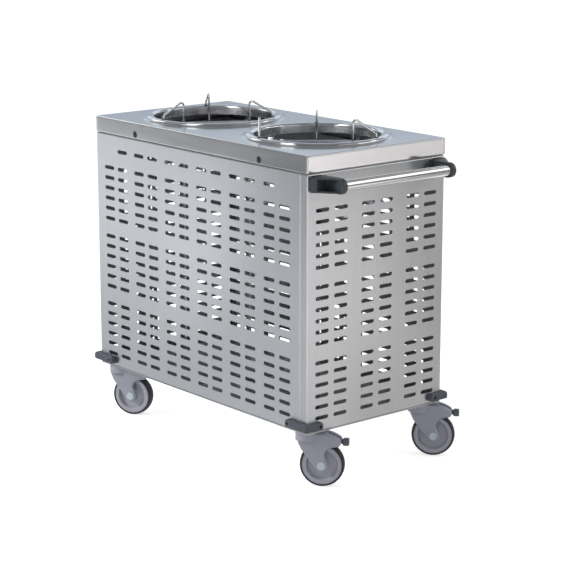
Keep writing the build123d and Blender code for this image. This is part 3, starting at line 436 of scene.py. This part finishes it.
def make_panel(node, name, along, inwards, pairs, pair_pitch, with_top_row=False, wraps=False):
    """A slotted panel in place of a node: a pierced sheet whose u runs along it and v up it.

    Both are counted from the panel's middle. Past the flat part they follow the folds at the top and
    bottom and, at the sides, the wrap round a corner or the rolled edge. Inwards is through the sheet.
    A top row has no slot at either end."""
    low, high = (np.array(corner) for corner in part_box(node))
    middle = (low + high) / 2
    surface = np.where(inwards < 0, high, low) * np.abs(inwards)
    half = np.abs(along) @ (high - low) / 2
    flat_height = (high[2] - low[2]) / 2 - panel_bend
    if wraps:
        side_bend, flat_half = panel_bend, half - panel_bend
        side_lines = fold_lines(flat_half, side_bend, corner_return - side_bend)
    else:
        side_bend, flat_half = edge_roll, half - edge_roll * math.sin(edge_turn)
        roll_lines = side_bend * np.linspace(0, edge_turn, edge_steps)
        side_lines = flat_half + np.append(-hold, roll_lines)
    both_sides = np.array([-0.5, 0.5])
    columns = (np.arange(pairs) - (pairs - 1) / 2)[:, None] * pair_pitch
    columns = (columns + both_sides * slot_in_pair).ravel()
    rows = (np.array(group_tops)[:, None] - np.arange(rows_in_group) * row_pitch).ravel()
    rows = np.sort(np.append(rows, top_row) if with_top_row else rows)
    u_lines = (columns[:, None] + both_sides * (slot_length + 2 * slot_margin)).ravel()
    v_lines = (rows[:, None] + both_sides * (slot_height + 2 * slot_margin)).ravel()
    edge_lines = fold_lines(flat_height, panel_bend, panel_leg)
    u_lines = np.concatenate([-side_lines[::-1], u_lines, side_lines])
    v_lines = np.concatenate([-edge_lines[::-1], v_lines - middle[2], edge_lines])
    i = len(side_lines) + 2 * np.arange(len(columns))
    j = len(edge_lines) + 2 * np.arange(len(rows))
    holes = np.stack(np.meshgrid(i, j, indexing="ij"), -1)
    keep = np.ones(holes.shape[:2], bool)
    if with_top_row:
        keep[[0, -1], -1] = False
    u_middle = (u_lines[1:] + u_lines[:-1]) / 2
    v_middle = (v_lines[1:] + v_lines[:-1]) / 2
    skipped = (np.abs(u_middle) > flat_half)[:, None] & (np.abs(v_middle) > flat_height) & wraps
    radius = slot_height / 2
    reach = slot_length / 2 - radius
    points, faces = pierced_sheet(u_lines, v_lines, holes[keep], reach, radius, slot_roll, skipped)
    height, fold_in = folded(points[:, 1], flat_height, panel_bend)
    sideways, wrap_in = folded(points[:, 0], flat_half, side_bend)
    depth = points[:, 2] + fold_in + wrap_in
    placed = surface + middle * np.abs(along) + sideways[:, None] * along + depth[:, None] * inwards
    placed[:, 2] += middle[2] + height
    made = piece(name, placed, faces, "cabinet", panel_steel)
    made.data.materials.append(panel_inside_painted_shade)
    thicken(made, panel_sheet).material_offset = 1
    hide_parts(node)


panel_steel = brushed_steel(
    "panel_steel", (0.53, 0.54, 0.555), (0.65, 0.657, 0.67), (130.0, 130.0, 5.0), (1500.0, 1500.0, 12.0),
    roughness=0.24, grain=0.03, anisotropy=0.85,
)
# Inside faces: an unbrushed mill finish, partly its real tone and partly painted shade, made much darker
# than the sheet to stand for the shade inside the cabinet seen through the slots.
panel_inside_painted_shade = mill_steel("panel_inside_painted_shade", (0.27, 0.275, 0.285), (0.37, 0.375, 0.39))
make_panel("front_panel", "front_side", x_axis, y_axis, side_pairs, side_pitch, with_top_row=True)
make_panel("rear_panel", "rear_side", -x_axis, -y_axis, side_pairs, side_pitch, with_top_row=True)
make_panel("handle_end_panel", "handle_end", y_axis, -x_axis, end_pairs, end_pitch, wraps=True)
make_panel("far_end_panel", "far_end", -y_axis, x_axis, end_pairs, end_pitch)


# Corner bumpers
# Dark slate-grey moulded angles round the foot of each corner, with a slightly rough moulded face.
# Each is held by two sunk screws, one in each arm, of the same dark tone.
bumper_plastic = plastic(
    "bumper_plastic", (0.088, 0.096, 0.12), (0.058, 0.064, 0.081), 0.5, 0.2, 800.0, edge=0.003
)
dress(bumper_plastic, *[name for name in nodes if name.startswith("bumper_")])


# Cover
# One sheet of satin stainless steel with folded, hemmed skirts. Round each well it is pressed up in
# a low step. Black plastic plugs close the fixing holes in its long skirts.
cover_low, cover_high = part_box("cover")
deck_top = 0.925
skirt_bottom = cover_low.z
step_height = cover_high.z - deck_top
step_outer, step_inner, step_lines = 0.213, 0.205, 9
deck_hole = 0.196
ledge_line, apron_line = 0.2005, 0.2165
deck_shares = np.array([0.35, 0.7])
cover_sheet = 0.0015
cover_edge = 0.0035
cover_corner = 0.0015
cover_bend_steps = 7
skirt_hem = 0.005
hem_bend = 0.0015
spacing = 0.008


def well_place(well):
    """A well's middle along X, and the direction from there to its first plate guide."""
    low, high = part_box(f"well_ring_{well}")
    middle = (low.x + high.x) / 2
    guide = joints[f"guide_{well}_1_turn"]["pos_m"]
    return middle, math.atan2(guide[1], guide[0] - middle)


def run(start, end):
    """Evenly spaced points from start up to, but not with, end."""
    start, end = np.array(start), np.array(end)
    count = max(2, int(np.linalg.norm(end - start) / spacing))
    return start + (end - start) * np.linspace(0, 1, count, endpoint=False)[:, None]


def corner_arc(centre, radius, from_degrees, steps=5):
    """Points of a quarter circle about a centre, up to, but not with, its end."""
    turn = np.radians(np.linspace(from_degrees, from_degrees + 90, steps, endpoint=False))
    return np.array(centre) + radius * np.stack([np.cos(turn), np.sin(turn)], -1)


def make_cover():
    """Deck from each well's hole out to the edge, then edge curve, skirt and hem along the outline.

    Along a ray from a well's middle the height is the step's top inside the inner radius, the deck
    outside the outer one, and half a cosine wave between. The circles ledge_line and apron_line keep
    the shading flat on either side of the step."""
    edge_x, edge_y = cover_high.x - cover_edge, cover_high.y - cover_edge
    bend_x, bend_y = edge_x - cover_corner, edge_y - cover_corner
    outline = np.concatenate([
        run((0.0, -edge_y), (bend_x, -edge_y)),
        corner_arc((bend_x, -bend_y), cover_corner, -90),
        run((edge_x, -bend_y), (edge_x, bend_y)),
        corner_arc((bend_x, bend_y), cover_corner, 0),
        run((bend_x, edge_y), (0.0, edge_y)),
        [(0.0, edge_y)],
    ])
    middle_line = run((0.0, edge_y), (0.0, -edge_y))[1:]
    border = np.concatenate([outline, middle_line])
    well = np.array([well_place("near")[0], 0.0])
    ray = border - well
    length = np.linalg.norm(ray, axis=1)
    ray = ray / length[:, None]
    step = np.linspace(step_inner, step_outer, step_lines)
    radii = np.concatenate([[deck_hole, ledge_line], step, [apron_line]])
    distance = np.concatenate([
        np.broadcast_to(radii, (len(border), len(radii))),
        apron_line + deck_shares * (length[:, None] - apron_line),
        length[:, None] - np.array([hold, 0.0]),
    ], 1)
    climb = np.clip((step_outer - distance) / (step_outer - step_inner), 0, 1)
    height = deck_top + step_height * (1 - np.cos(np.pi * climb)) / 2
    flat = well + ray[:, None] * distance[..., None]
    half = np.concatenate([flat, height[..., None]], -1)
    stations = distance.shape[1]
    deck_faces = grid_faces(len(border), stations, close_rows=True)
    mirrored = half * np.array([-1.0, 1.0, 1.0])
    loop = np.concatenate([outline, (outline * np.array([-1.0, 1.0]))[::-1][1:-1]])
    inner = np.clip(loop, [-bend_x, -bend_y], [bend_x, bend_y])
    outwards = (loop - inner) / np.linalg.norm(loop - inner, axis=1, keepdims=True)
    turn = np.linspace(0, np.pi / 2, cover_bend_steps)
    edge = cover_edge * np.sin(turn)
    hem = cover_edge - hem_bend * (1 - np.cos(turn))
    out = np.concatenate([edge, [cover_edge, cover_edge], hem, [cover_edge - skirt_hem]])
    drop = deck_top - cover_edge * (1 - np.cos(turn))
    lift = skirt_bottom + hem_bend * (1 - np.sin(turn))
    level = np.concatenate([drop, [drop[-1] - hold, lift[0] + hold], lift, [skirt_bottom]])
    skirt = loop[:, None] + outwards[:, None] * out[:, None]
    skirt = np.concatenate([skirt, np.broadcast_to(level[:, None], (len(loop), len(level), 1))], -1)
    points = np.concatenate([half.reshape(-1, 3), mirrored.reshape(-1, 3), skirt.reshape(-1, 3)])
    count = half.shape[0] * stations
    skirt_faces = grid_faces(len(loop), len(level), close_rows=True)
    return points, [deck_faces[:, ::-1], deck_faces + count, skirt_faces[:, ::-1] + 2 * count]


deck_steel = brushed_steel(
    "deck_steel", (0.475, 0.475, 0.48), (0.60, 0.60, 0.605), (4.0, 110.0, 110.0), (10.0, 1400.0, 1400.0),
    roughness=0.11, grain=0.012, anisotropy=0.5,
)
points, faces = make_cover()
cover = piece("deck_cover", points, faces, "cabinet", deck_steel)
thicken(cover, cover_sheet)
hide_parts("cover")
plug_plastic = plastic("plug_plastic", (0.014, 0.016, 0.019), (0.008, 0.009, 0.011), 0.22, 0.03)
dress(plug_plastic, "cover_plugs")


# Plate carriers and springs
# Each carrier is a welded star of bright drawn bar on three struts. Six pulling springs hang from
# the well ring's lip down to the carrier's yokes, and stretch as plates are laid on.
spring_turns, steps_a_turn, lead_steps = 24, 14, 5
spring_coil_radius = 0.006
spring_wire_radius = 0.0013
spring_place = 0.1845
spring_spread = math.radians(20)
spring_eye = 0.010


def drawn_wire(name, dark, light, roughness):
    """Bright drawn wire or bar: metal with soft bands of tone and a faint drawn grain."""
    material, shade, shader = new_finish(name, {"Metallic": 1.0})
    band = shade.noise((35.0, 35.0, 35.0), 3.0)
    grain = shade.noise((300.0, 300.0, 300.0), 2.0)
    colour = shade.mix(band, dark, light)
    feed(shader, shade, colour, roughness + 0.1 * band, shade.bump(grain, strength=0.05, distance=0.0001))
    return material


def tube(path, sideways, radius, sides=10):
    """A round tube along a path: each ring is path + radius (cos a side + sin a (heading x side))."""
    heading = np.gradient(path, axis=0)
    heading /= np.linalg.norm(heading, axis=1, keepdims=True)
    sideways = sideways - heading * np.sum(heading * sideways, axis=1, keepdims=True)
    sideways /= np.linalg.norm(sideways, axis=1, keepdims=True)
    across = np.cross(heading, sideways)
    turn = np.linspace(0, 2 * np.pi, sides, endpoint=False)[:, None]
    rings = path[:, None] + radius * (np.cos(turn) * sideways[:, None] + np.sin(turn) * across[:, None])
    ends = np.stack([path[0], path[-1]])
    points = np.concatenate([rings.reshape(-1, 3), ends])
    count = len(path) * sides
    step = np.arange(sides)
    after = (step + 1) % sides
    start_cap = np.stack([np.full(sides, count), after, step], -1)
    end_cap = np.stack([np.full(sides, count + 1), count - sides + step, count - sides + after], -1)
    return points, [grid_faces(len(path), sides, close_columns=True)[:, ::-1], start_cap, end_cap]


def wound_spring(bottom, top):
    """One spring about the Z axis: a helix whose height grows evenly with its turn, and straight leads
    from the helix's ends down to the bottom and up to the top."""
    turn = np.linspace(0, 2 * np.pi * spring_turns, spring_turns * steps_a_turn + 1)
    radial = np.stack([np.cos(turn), np.sin(turn), np.zeros_like(turn)], -1)
    climb = (top - bottom - 2 * spring_eye) * turn / turn[-1]
    coil = spring_coil_radius * radial
    coil[:, 2] = bottom + spring_eye + climb
    lead = np.linspace(0, 1, lead_steps, endpoint=False)[:, None]
    foot = np.array([spring_coil_radius, 0.0, bottom + spring_wire_radius])
    head = np.array([spring_coil_radius, 0.0, top - spring_wire_radius])
    foot_lead = foot + (coil[0] - foot) * lead
    head_lead = coil[-1] + (head - coil[-1]) * lead[1:]
    path = np.concatenate([foot_lead, coil, head_lead, [head]])
    sideways = np.pad(radial, ((lead_steps, lead_steps), (0, 0)), mode="edge")
    return tube(path, sideways, spring_wire_radius)


bar_steel = drawn_wire("bar_steel", (0.66, 0.67, 0.69), (0.84, 0.85, 0.87), 0.2)
spring_steel = drawn_wire("spring_steel", (0.38, 0.39, 0.41), (0.56, 0.57, 0.59), 0.28)
bush_plastic = plastic("bush_plastic", (0.045, 0.047, 0.052), (0.03, 0.032, 0.036), 0.4, 0.08)
for well in ("near", "far"):
    low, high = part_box(f"carrier_springs_{well}")
    centre_x, guide_turn = well_place(well)
    wire_points, wire_faces = wound_spring(low.z, high.z)
    turns = guide_turn + np.pi / 3 + 2 * np.pi / 3 * np.arange(3)
    places = (turns[:, None] + np.array([-spring_spread, spring_spread])).ravel()
    offsets = spring_place * np.stack([np.cos(places), np.sin(places), 0 * places], -1) + [centre_x, 0, 0]
    points = (wire_points[None] + offsets[:, None]).reshape(-1, 3)
    starts = len(wire_points) * np.arange(len(places))[:, None, None]
    faces = [(group[None] + starts).reshape(-1, group.shape[1]) for group in wire_faces]
    springs = piece(f"springs_{well}", points, faces, None, spring_steel)
    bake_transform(springs)
    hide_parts(f"carrier_springs_{well}")
    dress(bar_steel, f"plate_carrier_{well}")
    dress(bush_plastic, f"carrier_glides_{well}", f"guide_bushes_{well}")


# Well rings
# Spun rings of polished steel: a rolled bead that stands on the deck's step, a short band down
# inside the opening with groups of small drain holes, and a lip turned out for the springs.
ring_sheet = 0.0018
ring_seat = 0.928
ring_steps, line_gap = 180, 0.0008
bead_steps, bead_fullness = 17, 0.8
band_radius = 0.178
lip_radius, lip_bend, lip_steps = 0.193, 0.003, 5
satin_top, satin_fade = 0.9255, 0.002
drain_radius = 0.00225
drain_margin = 0.0012
drain_roll = 0.0004
drains_in_group = 4
drain_step = math.radians(6.2)
drain_turn = math.radians(40)
drain_z = 0.9125


def polished_steel(name, dark, light, roughness, satin=0.0, turned=0.0):
    """Polished metal: near mirror, with buffing haze in soft patches and fine turned lines.

    A satin finish adds roughness below the height satin_top, fading out over satin_fade. Turned metal
    stretches its highlights across the lines."""
    constants = {"Metallic": 1.0, "Anisotropic": turned, "Anisotropic Rotation": 0.25}
    material, shade, shader = new_finish(name, constants)
    haze = shade.noise((14.0, 14.0, 14.0), 4.0)
    lines = shade.noise((40.0, 40.0, 900.0), 2.0)
    colour = shade.mix(haze, dark, light)
    gloss = roughness + 0.05 * haze + 0.03 * lines
    if satin:
        gloss = gloss + satin * shade.below(satin_top, satin_fade)
    feed(shader, shade, colour, gloss, shade.bump(lines, strength=0.006, distance=0.0001))
    return material


def make_ring(well):
    """Bead, band and lip as a profile carried round the well, with drain holes through the band.

    Over the bead the radius follows a cosine and the height a sine raised to bead_fullness. The sheet
    is a grid of arc length round the band by length along the profile."""
    low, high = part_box(f"well_ring_{well}")
    centre, guide_turn = well_place(well)
    bead_outer = (high.x - low.x) / 2
    seat, crown, bottom = ring_seat, high.z, low.z
    arch = np.linspace(0, np.pi, bead_steps)
    bead_middle, bead_half = (bead_outer + band_radius) / 2, (bead_outer - band_radius) / 2
    bead_height = seat + (crown - seat) * np.sin(arch) ** bead_fullness
    bead = np.stack([bead_middle + bead_half * np.cos(arch), bead_height], -1)
    bend = np.linspace(0, np.pi / 2, lip_steps)
    turn_out = np.stack([
        band_radius + lip_bend * (1 - np.cos(bend)), bottom + lip_bend * (1 - np.sin(bend))
    ], -1)
    profile = np.concatenate([bead, turn_out, [(lip_radius, bottom)]])
    length = np.append(0, np.cumsum(np.linalg.norm(np.diff(profile, axis=0), axis=1)))
    half_cell = drain_radius + drain_margin
    hole_v = length[len(bead) - 1] + (seat - drain_z)
    v_lines = np.sort(np.concatenate([length, [hole_v - half_cell, hole_v + half_cell]]))
    groups = guide_turn + 2 * np.pi / 3 * np.arange(3)[:, None] + drain_turn * np.array([-1.0, 1.0])
    spread = (np.arange(drains_in_group) - (drains_in_group - 1) / 2) * drain_step
    drains = np.sort(np.mod((groups.ravel()[:, None] + spread).ravel() - guide_turn, 2 * np.pi))
    drain_lines = (band_radius * drains[:, None] + half_cell * np.array([-1.0, 1.0])).ravel()
    even = band_radius * np.linspace(0, 2 * np.pi, ring_steps + 1)
    clear = np.all(np.abs(even[:, None] - band_radius * drains) > half_cell + line_gap, axis=1)
    u_lines = np.sort(np.concatenate([even[clear], drain_lines]))
    i = np.searchsorted(u_lines, band_radius * drains) - 1
    j = np.searchsorted(v_lines, hole_v) - 1
    holes = np.stack([i, np.full_like(i, j)], -1)
    points, faces = pierced_sheet(u_lines, v_lines, holes, 0.0, drain_radius, drain_roll)
    turn = guide_turn + points[:, 0] / band_radius
    radius = np.interp(points[:, 1], length, profile[:, 0]) + points[:, 2]
    height = np.interp(points[:, 1], length, profile[:, 1])
    return np.stack([centre + radius * np.cos(turn), radius * np.sin(turn), height], -1), faces


ring_steel = polished_steel(
    "ring_steel", (0.56, 0.57, 0.59), (0.70, 0.71, 0.73), roughness=0.05, satin=0.10, turned=0.85
)
for well in ("near", "far"):
    points, faces = make_ring(well)
    ring = piece(f"ring_{well}", points, faces, "cabinet", ring_steel)
    thicken(ring, ring_sheet)
    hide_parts(f"well_ring_{well}")


# Plate guides
# Bent bright wires that hold the stack, three to a well. Each turns in a bush in the bead, to suit
# the size of the plates, and runs down to a foot in the well's floor.
guide_steel = drawn_wire("guide_steel", (0.62, 0.62, 0.62), (0.82, 0.82, 0.81), 0.06)
dress(guide_steel, *[name for name in nodes if name.startswith("plate_guide_")])


# Push handle
# A polished steel tube pressed into two black moulded brackets, which stand near the corners of
# the handle end and are bolted through its panel.
black_plastic = plastic(
    "black_plastic", (0.046, 0.054, 0.064), (0.030, 0.036, 0.044), 0.36, 0.10, 800.0, edge=0.004
)
dress(black_plastic, "handle_bracket_front", "handle_bracket_rear")
tube_steel = polished_steel("tube_steel", (0.66, 0.66, 0.66), (0.80, 0.79, 0.78), roughness=0.12)
dress(tube_steel, "handle_tube")


# Studio
# A white floor that keeps a soft shadow, white all round, and large soft lamps. Light and dark cards
# show only in reflections, where steel picks them up as bands of tone.
floor_half = 30.0
camera_turn = math.radians(50.229)
camera_pitch = math.radians(13.2)
camera_distance = 5.6172
camera_aim = np.array([0.0877, 0.0, 0.4734])
focal_pixels = 1931.7
frame_pixels = 567
card_height = 0.02
ceiling_height, box_height = 3.8, 3.7
cool = np.array([0.97, 1.0, 1.035])
warm = np.array([1.015, 1.0, 0.98])
rosy = np.array([1.06, 1.0, 0.99])
low_wall, high_wall = (0.20, 0.20, 0.21), (0.50, 0.51, 0.53)
front_line = (-5.2, -3.3), (1.2, -3.3)
room_line = (7.5, -1.0), (2.0, -7.5)
end_line = (4.4, 2.4), (1.5, 4.6)
back_line = (-5.0, -0.6), (0.6, 5.0)


def stage_plane(name, corners, material):
    """A flat stage piece from its corners."""
    mesh = bpy.data.meshes.new(name)
    mesh.from_pydata(corners, [], [tuple(range(len(corners)))])
    mesh.materials.append(material)
    made = bpy.data.objects.new(name, mesh)
    bpy.context.scene.collection.objects.link(made)
    made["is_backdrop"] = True
    return made


def bare_tree(holder):
    """An empty node tree of a material or world, as a Shade."""
    holder.use_nodes = True
    holder.node_tree.nodes.clear()
    return Shade(holder.node_tree)


floor_white = bpy.data.materials.new("floor_white")
shade = bare_tree(floor_white)
matte = shade.node("ShaderNodeBsdfDiffuse", {}, {"Color": (0.8, 0.8, 0.8, 1.0)})
glow = shade.node("ShaderNodeEmission", {}, {"Color": (1.0, 1.0, 1.0, 1.0), "Strength": 0.66})
camera_ray = shade.node("ShaderNodeLightPath", {}, {}, "Is Camera Ray")
glossy_ray = shade.node("ShaderNodeLightPath", {}, {}, "Is Glossy Ray")
lit = shade.node("ShaderNodeAddShader", {}, {0: matte, 1: glow})
seen = shade.math("MAXIMUM", camera_ray, glossy_ray)
floor_mix = shade.node("ShaderNodeMixShader", {}, {0: seen, 1: matte, 2: lit})
shade.node("ShaderNodeOutputMaterial", {}, {"Surface": floor_mix}, None)
floor_corners = [(x * floor_half, y * floor_half, 0.0) for x, y in ((-1, -1), (1, -1), (1, 1), (-1, 1))]
stage_plane("floor", floor_corners, floor_white)

world = bpy.data.worlds.new("studio")
bpy.context.scene.world = world
shade = bare_tree(world)
white = shade.node("ShaderNodeBackground", {}, {"Color": (1.0, 1.0, 1.0, 1.0), "Strength": 1.0})
ambient = shade.node("ShaderNodeBackground", {}, {"Color": (0.95, 0.97, 1.0, 1.0), "Strength": 0.52})
camera_ray = shade.node("ShaderNodeLightPath", {}, {}, "Is Camera Ray")
glossy_ray = shade.node("ShaderNodeLightPath", {}, {}, "Is Glossy Ray")
through_ray = shade.node("ShaderNodeLightPath", {}, {}, "Is Transmission Ray")
seen = shade.math("MAXIMUM", shade.math("MAXIMUM", camera_ray, glossy_ray), through_ray)
surround = shade.node("ShaderNodeMixShader", {}, {0: seen, 1: ambient, 2: white})
shade.node("ShaderNodeOutputWorld", {}, {"Surface": surround}, None)

camera_place = camera_aim + camera_distance * np.array([
    math.sin(camera_turn) * math.cos(camera_pitch),
    -math.cos(camera_turn) * math.cos(camera_pitch),
    math.sin(camera_pitch),
])
camera = bpy.data.cameras.new("camera")
camera.sensor_width = 36.0
camera.lens = focal_pixels / frame_pixels * camera.sensor_width
viewer = bpy.data.objects.new("camera", camera)
bpy.context.scene.collection.objects.link(viewer)
viewer.location = camera_place
viewer.rotation_euler = (math.pi / 2 - camera_pitch, 0.0, camera_turn)
bpy.context.scene.camera = viewer
bpy.context.scene.view_settings.view_transform = "Standard"


def card(name, tone, corners):
    """A card that only shows in reflections."""
    material = bpy.data.materials.new(name)
    shade = bare_tree(material)
    flat = shade.node("ShaderNodeEmission", {}, {"Color": (*tone, 1.0), "Strength": 1.0})
    shade.node("ShaderNodeOutputMaterial", {}, {"Surface": flat}, None)
    made = stage_plane(name, corners, material)
    made.visible_camera = False
    made.visible_diffuse = False
    made.visible_shadow = False
    made.visible_transmission = False


def upright(line, low, high):
    """Corners of an upright card over a line on the floor, between two heights."""
    start, end = line
    return [(*start, low), (*end, low), (*end, high), (*start, high)]


def lying(height, *corners):
    """Corners of a level card at a height."""
    return [(*corner, height) for corner in corners]


def patch_row(low, high, tones, edges, high_edges=None):
    """Patches side by side between two heights of a side: a tone, and corners as (along, height).

    A patch ends at the same place at both heights, unless other places are given for the upper one."""
    high_edges = high_edges or edges
    return [
        (tone, [(edges[n], low), (edges[n + 1], low), (high_edges[n + 1], high), (high_edges[n], high)])
        for n, tone in enumerate(tones)
    ]


def mirrored_cards(side, across, place, tint, *rows):
    """Floor cards laid where an upright side mirrors them to the camera.

    The line of sight to each corner of a patch is turned back at the side and followed down to the
    cards' height."""
    for number, (tone, corners) in enumerate(patch for row in rows for patch in row):
        points = np.empty((len(corners), 3))
        points[:, [1 - across, 2]] = corners
        points[:, across] = place
        sight = points - camera_place
        sight[:, across] *= -1
        points += sight * ((points[:, 2:] - card_height) / -sight[:, 2:])
        card(f"{side}_card_{number}", tuple(tone * tint), points.tolist())


front_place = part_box("front_panel")[0].y
end_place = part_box("handle_end_panel")[1].x
mirrored_cards(
    "front", 1, front_place, cool,
    patch_row(0.64, 0.80, (3.00, 2.40, 0.56), (-1.6, -0.05, 0.16, 1.2), (-1.6, -0.16, 0.16, 1.2)),
    patch_row(0.47, 0.64, (1.00, 2.10, 1.05), (-1.6, -0.12, 0.16, 1.2)),
    patch_row(0.05, 0.47, (0.64, 0.72), (-1.6, 0.1, 1.2)),
    patch_row(0.80, 0.94, (0.10, 0.02, 0.12), (-1.6, -0.30, 0.10, 1.2)),
)
mirrored_cards(
    "end", 0, end_place, warm,
    patch_row(0.70, 0.85, (0.30, 0.00, 0.50), (-0.9, -0.12, 0.12, 0.9)),
    patch_row(0.36, 0.70, (1.20, 1.05, 0.60, 0.28), (-0.9, -0.10, 0.06, 0.14, 0.9)),
    patch_row(0.05, 0.36, (0.70, 0.52, 0.58), (-0.9, -0.08, 0.10, 0.9)),
)
mirrored_cards(
    "end_skirt", 0, end_place, rosy,
    patch_row(0.85, 0.94, (3.00, 2.60, 2.05), (-0.9, -0.05, 0.14, 0.9)),
)
card("front_wall_low", low_wall, upright(front_line, 0.25, 1.5))
card("front_wall_high", high_wall, upright(front_line, 1.5, ceiling_height))
card("room_wall_low", low_wall, upright(room_line, 0.8, 2.0))
card("room_wall_high", high_wall, upright(room_line, 2.0, ceiling_height))
card("end_wall", low_wall, upright(end_line, 0.45, 2.0))
card("back_sky_low", (0.46, 0.52, 0.595), upright(back_line, 0.0, 1.5))
card("back_sky_high", (0.82, 0.91, 1.02), upright(back_line, 1.5, 2.4))
card("back_wall", (0.30, 0.31, 0.33), upright(back_line, 2.4, ceiling_height))
ceiling = lying(ceiling_height, (-5.0, -7.5), (7.5, -7.5), (7.5, 4.6), (-5.0, 4.6))
card("ceiling", (0.32, 0.33, 0.35), ceiling)
ceiling_flag = lying(box_height, (1.49, 0.85), (4.03, -0.49), (1.21, -3.87), (-0.56, -1.62))
card("ceiling_flag", (0.09, 0.09, 0.10), ceiling_flag)
card("top_softbox", (4.0, 4.0, 3.95), lying(3.6, (-1.5, 0.0), (-0.8, 0.0), (0.1, -1.75), (-0.6, -1.75)))
card("front_softbox", (2.6, 2.6, 2.6), upright(((-0.35, -3.25), (1.15, -3.25)), 1.2, 3.0))
card("left_softbox", (3.2, 3.2, 3.2), upright(((-3.2, -0.8), (-3.2, 0.3)), 2.2, box_height))
card("end_softbox", (1.9, 1.9, 1.88), upright(end_line, 2.0, box_height))
tube_softbox = lying(box_height, (2.0, 2.0), (3.8, 2.0), (3.8, 4.4), (2.0, 4.4))
card("tube_softbox", (1.9, 1.9, 1.88), tube_softbox)
back_softbox = lying(box_height, (-0.4, 3.05), (0.5, 3.05), (0.5, 3.9), (-0.4, 3.9))
card("back_softbox", (3.2, 3.2, 3.2), back_softbox)


def soft_lamp(name, place, aim, size, power):
    """A square area lamp at a place, turned towards a point, that does not show in reflections."""
    lamp = bpy.data.lights.new(name, "AREA")
    lamp.size = size
    lamp.energy = power
    made = bpy.data.objects.new(name, lamp)
    bpy.context.scene.collection.objects.link(made)
    made.location = place
    way = np.array(aim) - np.array(place)
    turn = math.atan2(-way[0], way[1])
    tilt = math.acos(-way[2] / np.linalg.norm(way))
    made.rotation_euler = (tilt, 0.0, turn)
    made.visible_glossy = False


soft_lamp("key_lamp", (-2.2, -3.6, 2.5), aim=(0.0, 0.0, 0.4), size=1.2, power=130.0)
soft_lamp("end_lamp", (3.1, 2.3, 1.6), aim=(0.5, 0.0, 0.6), size=1.1, power=25.0)

low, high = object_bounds()
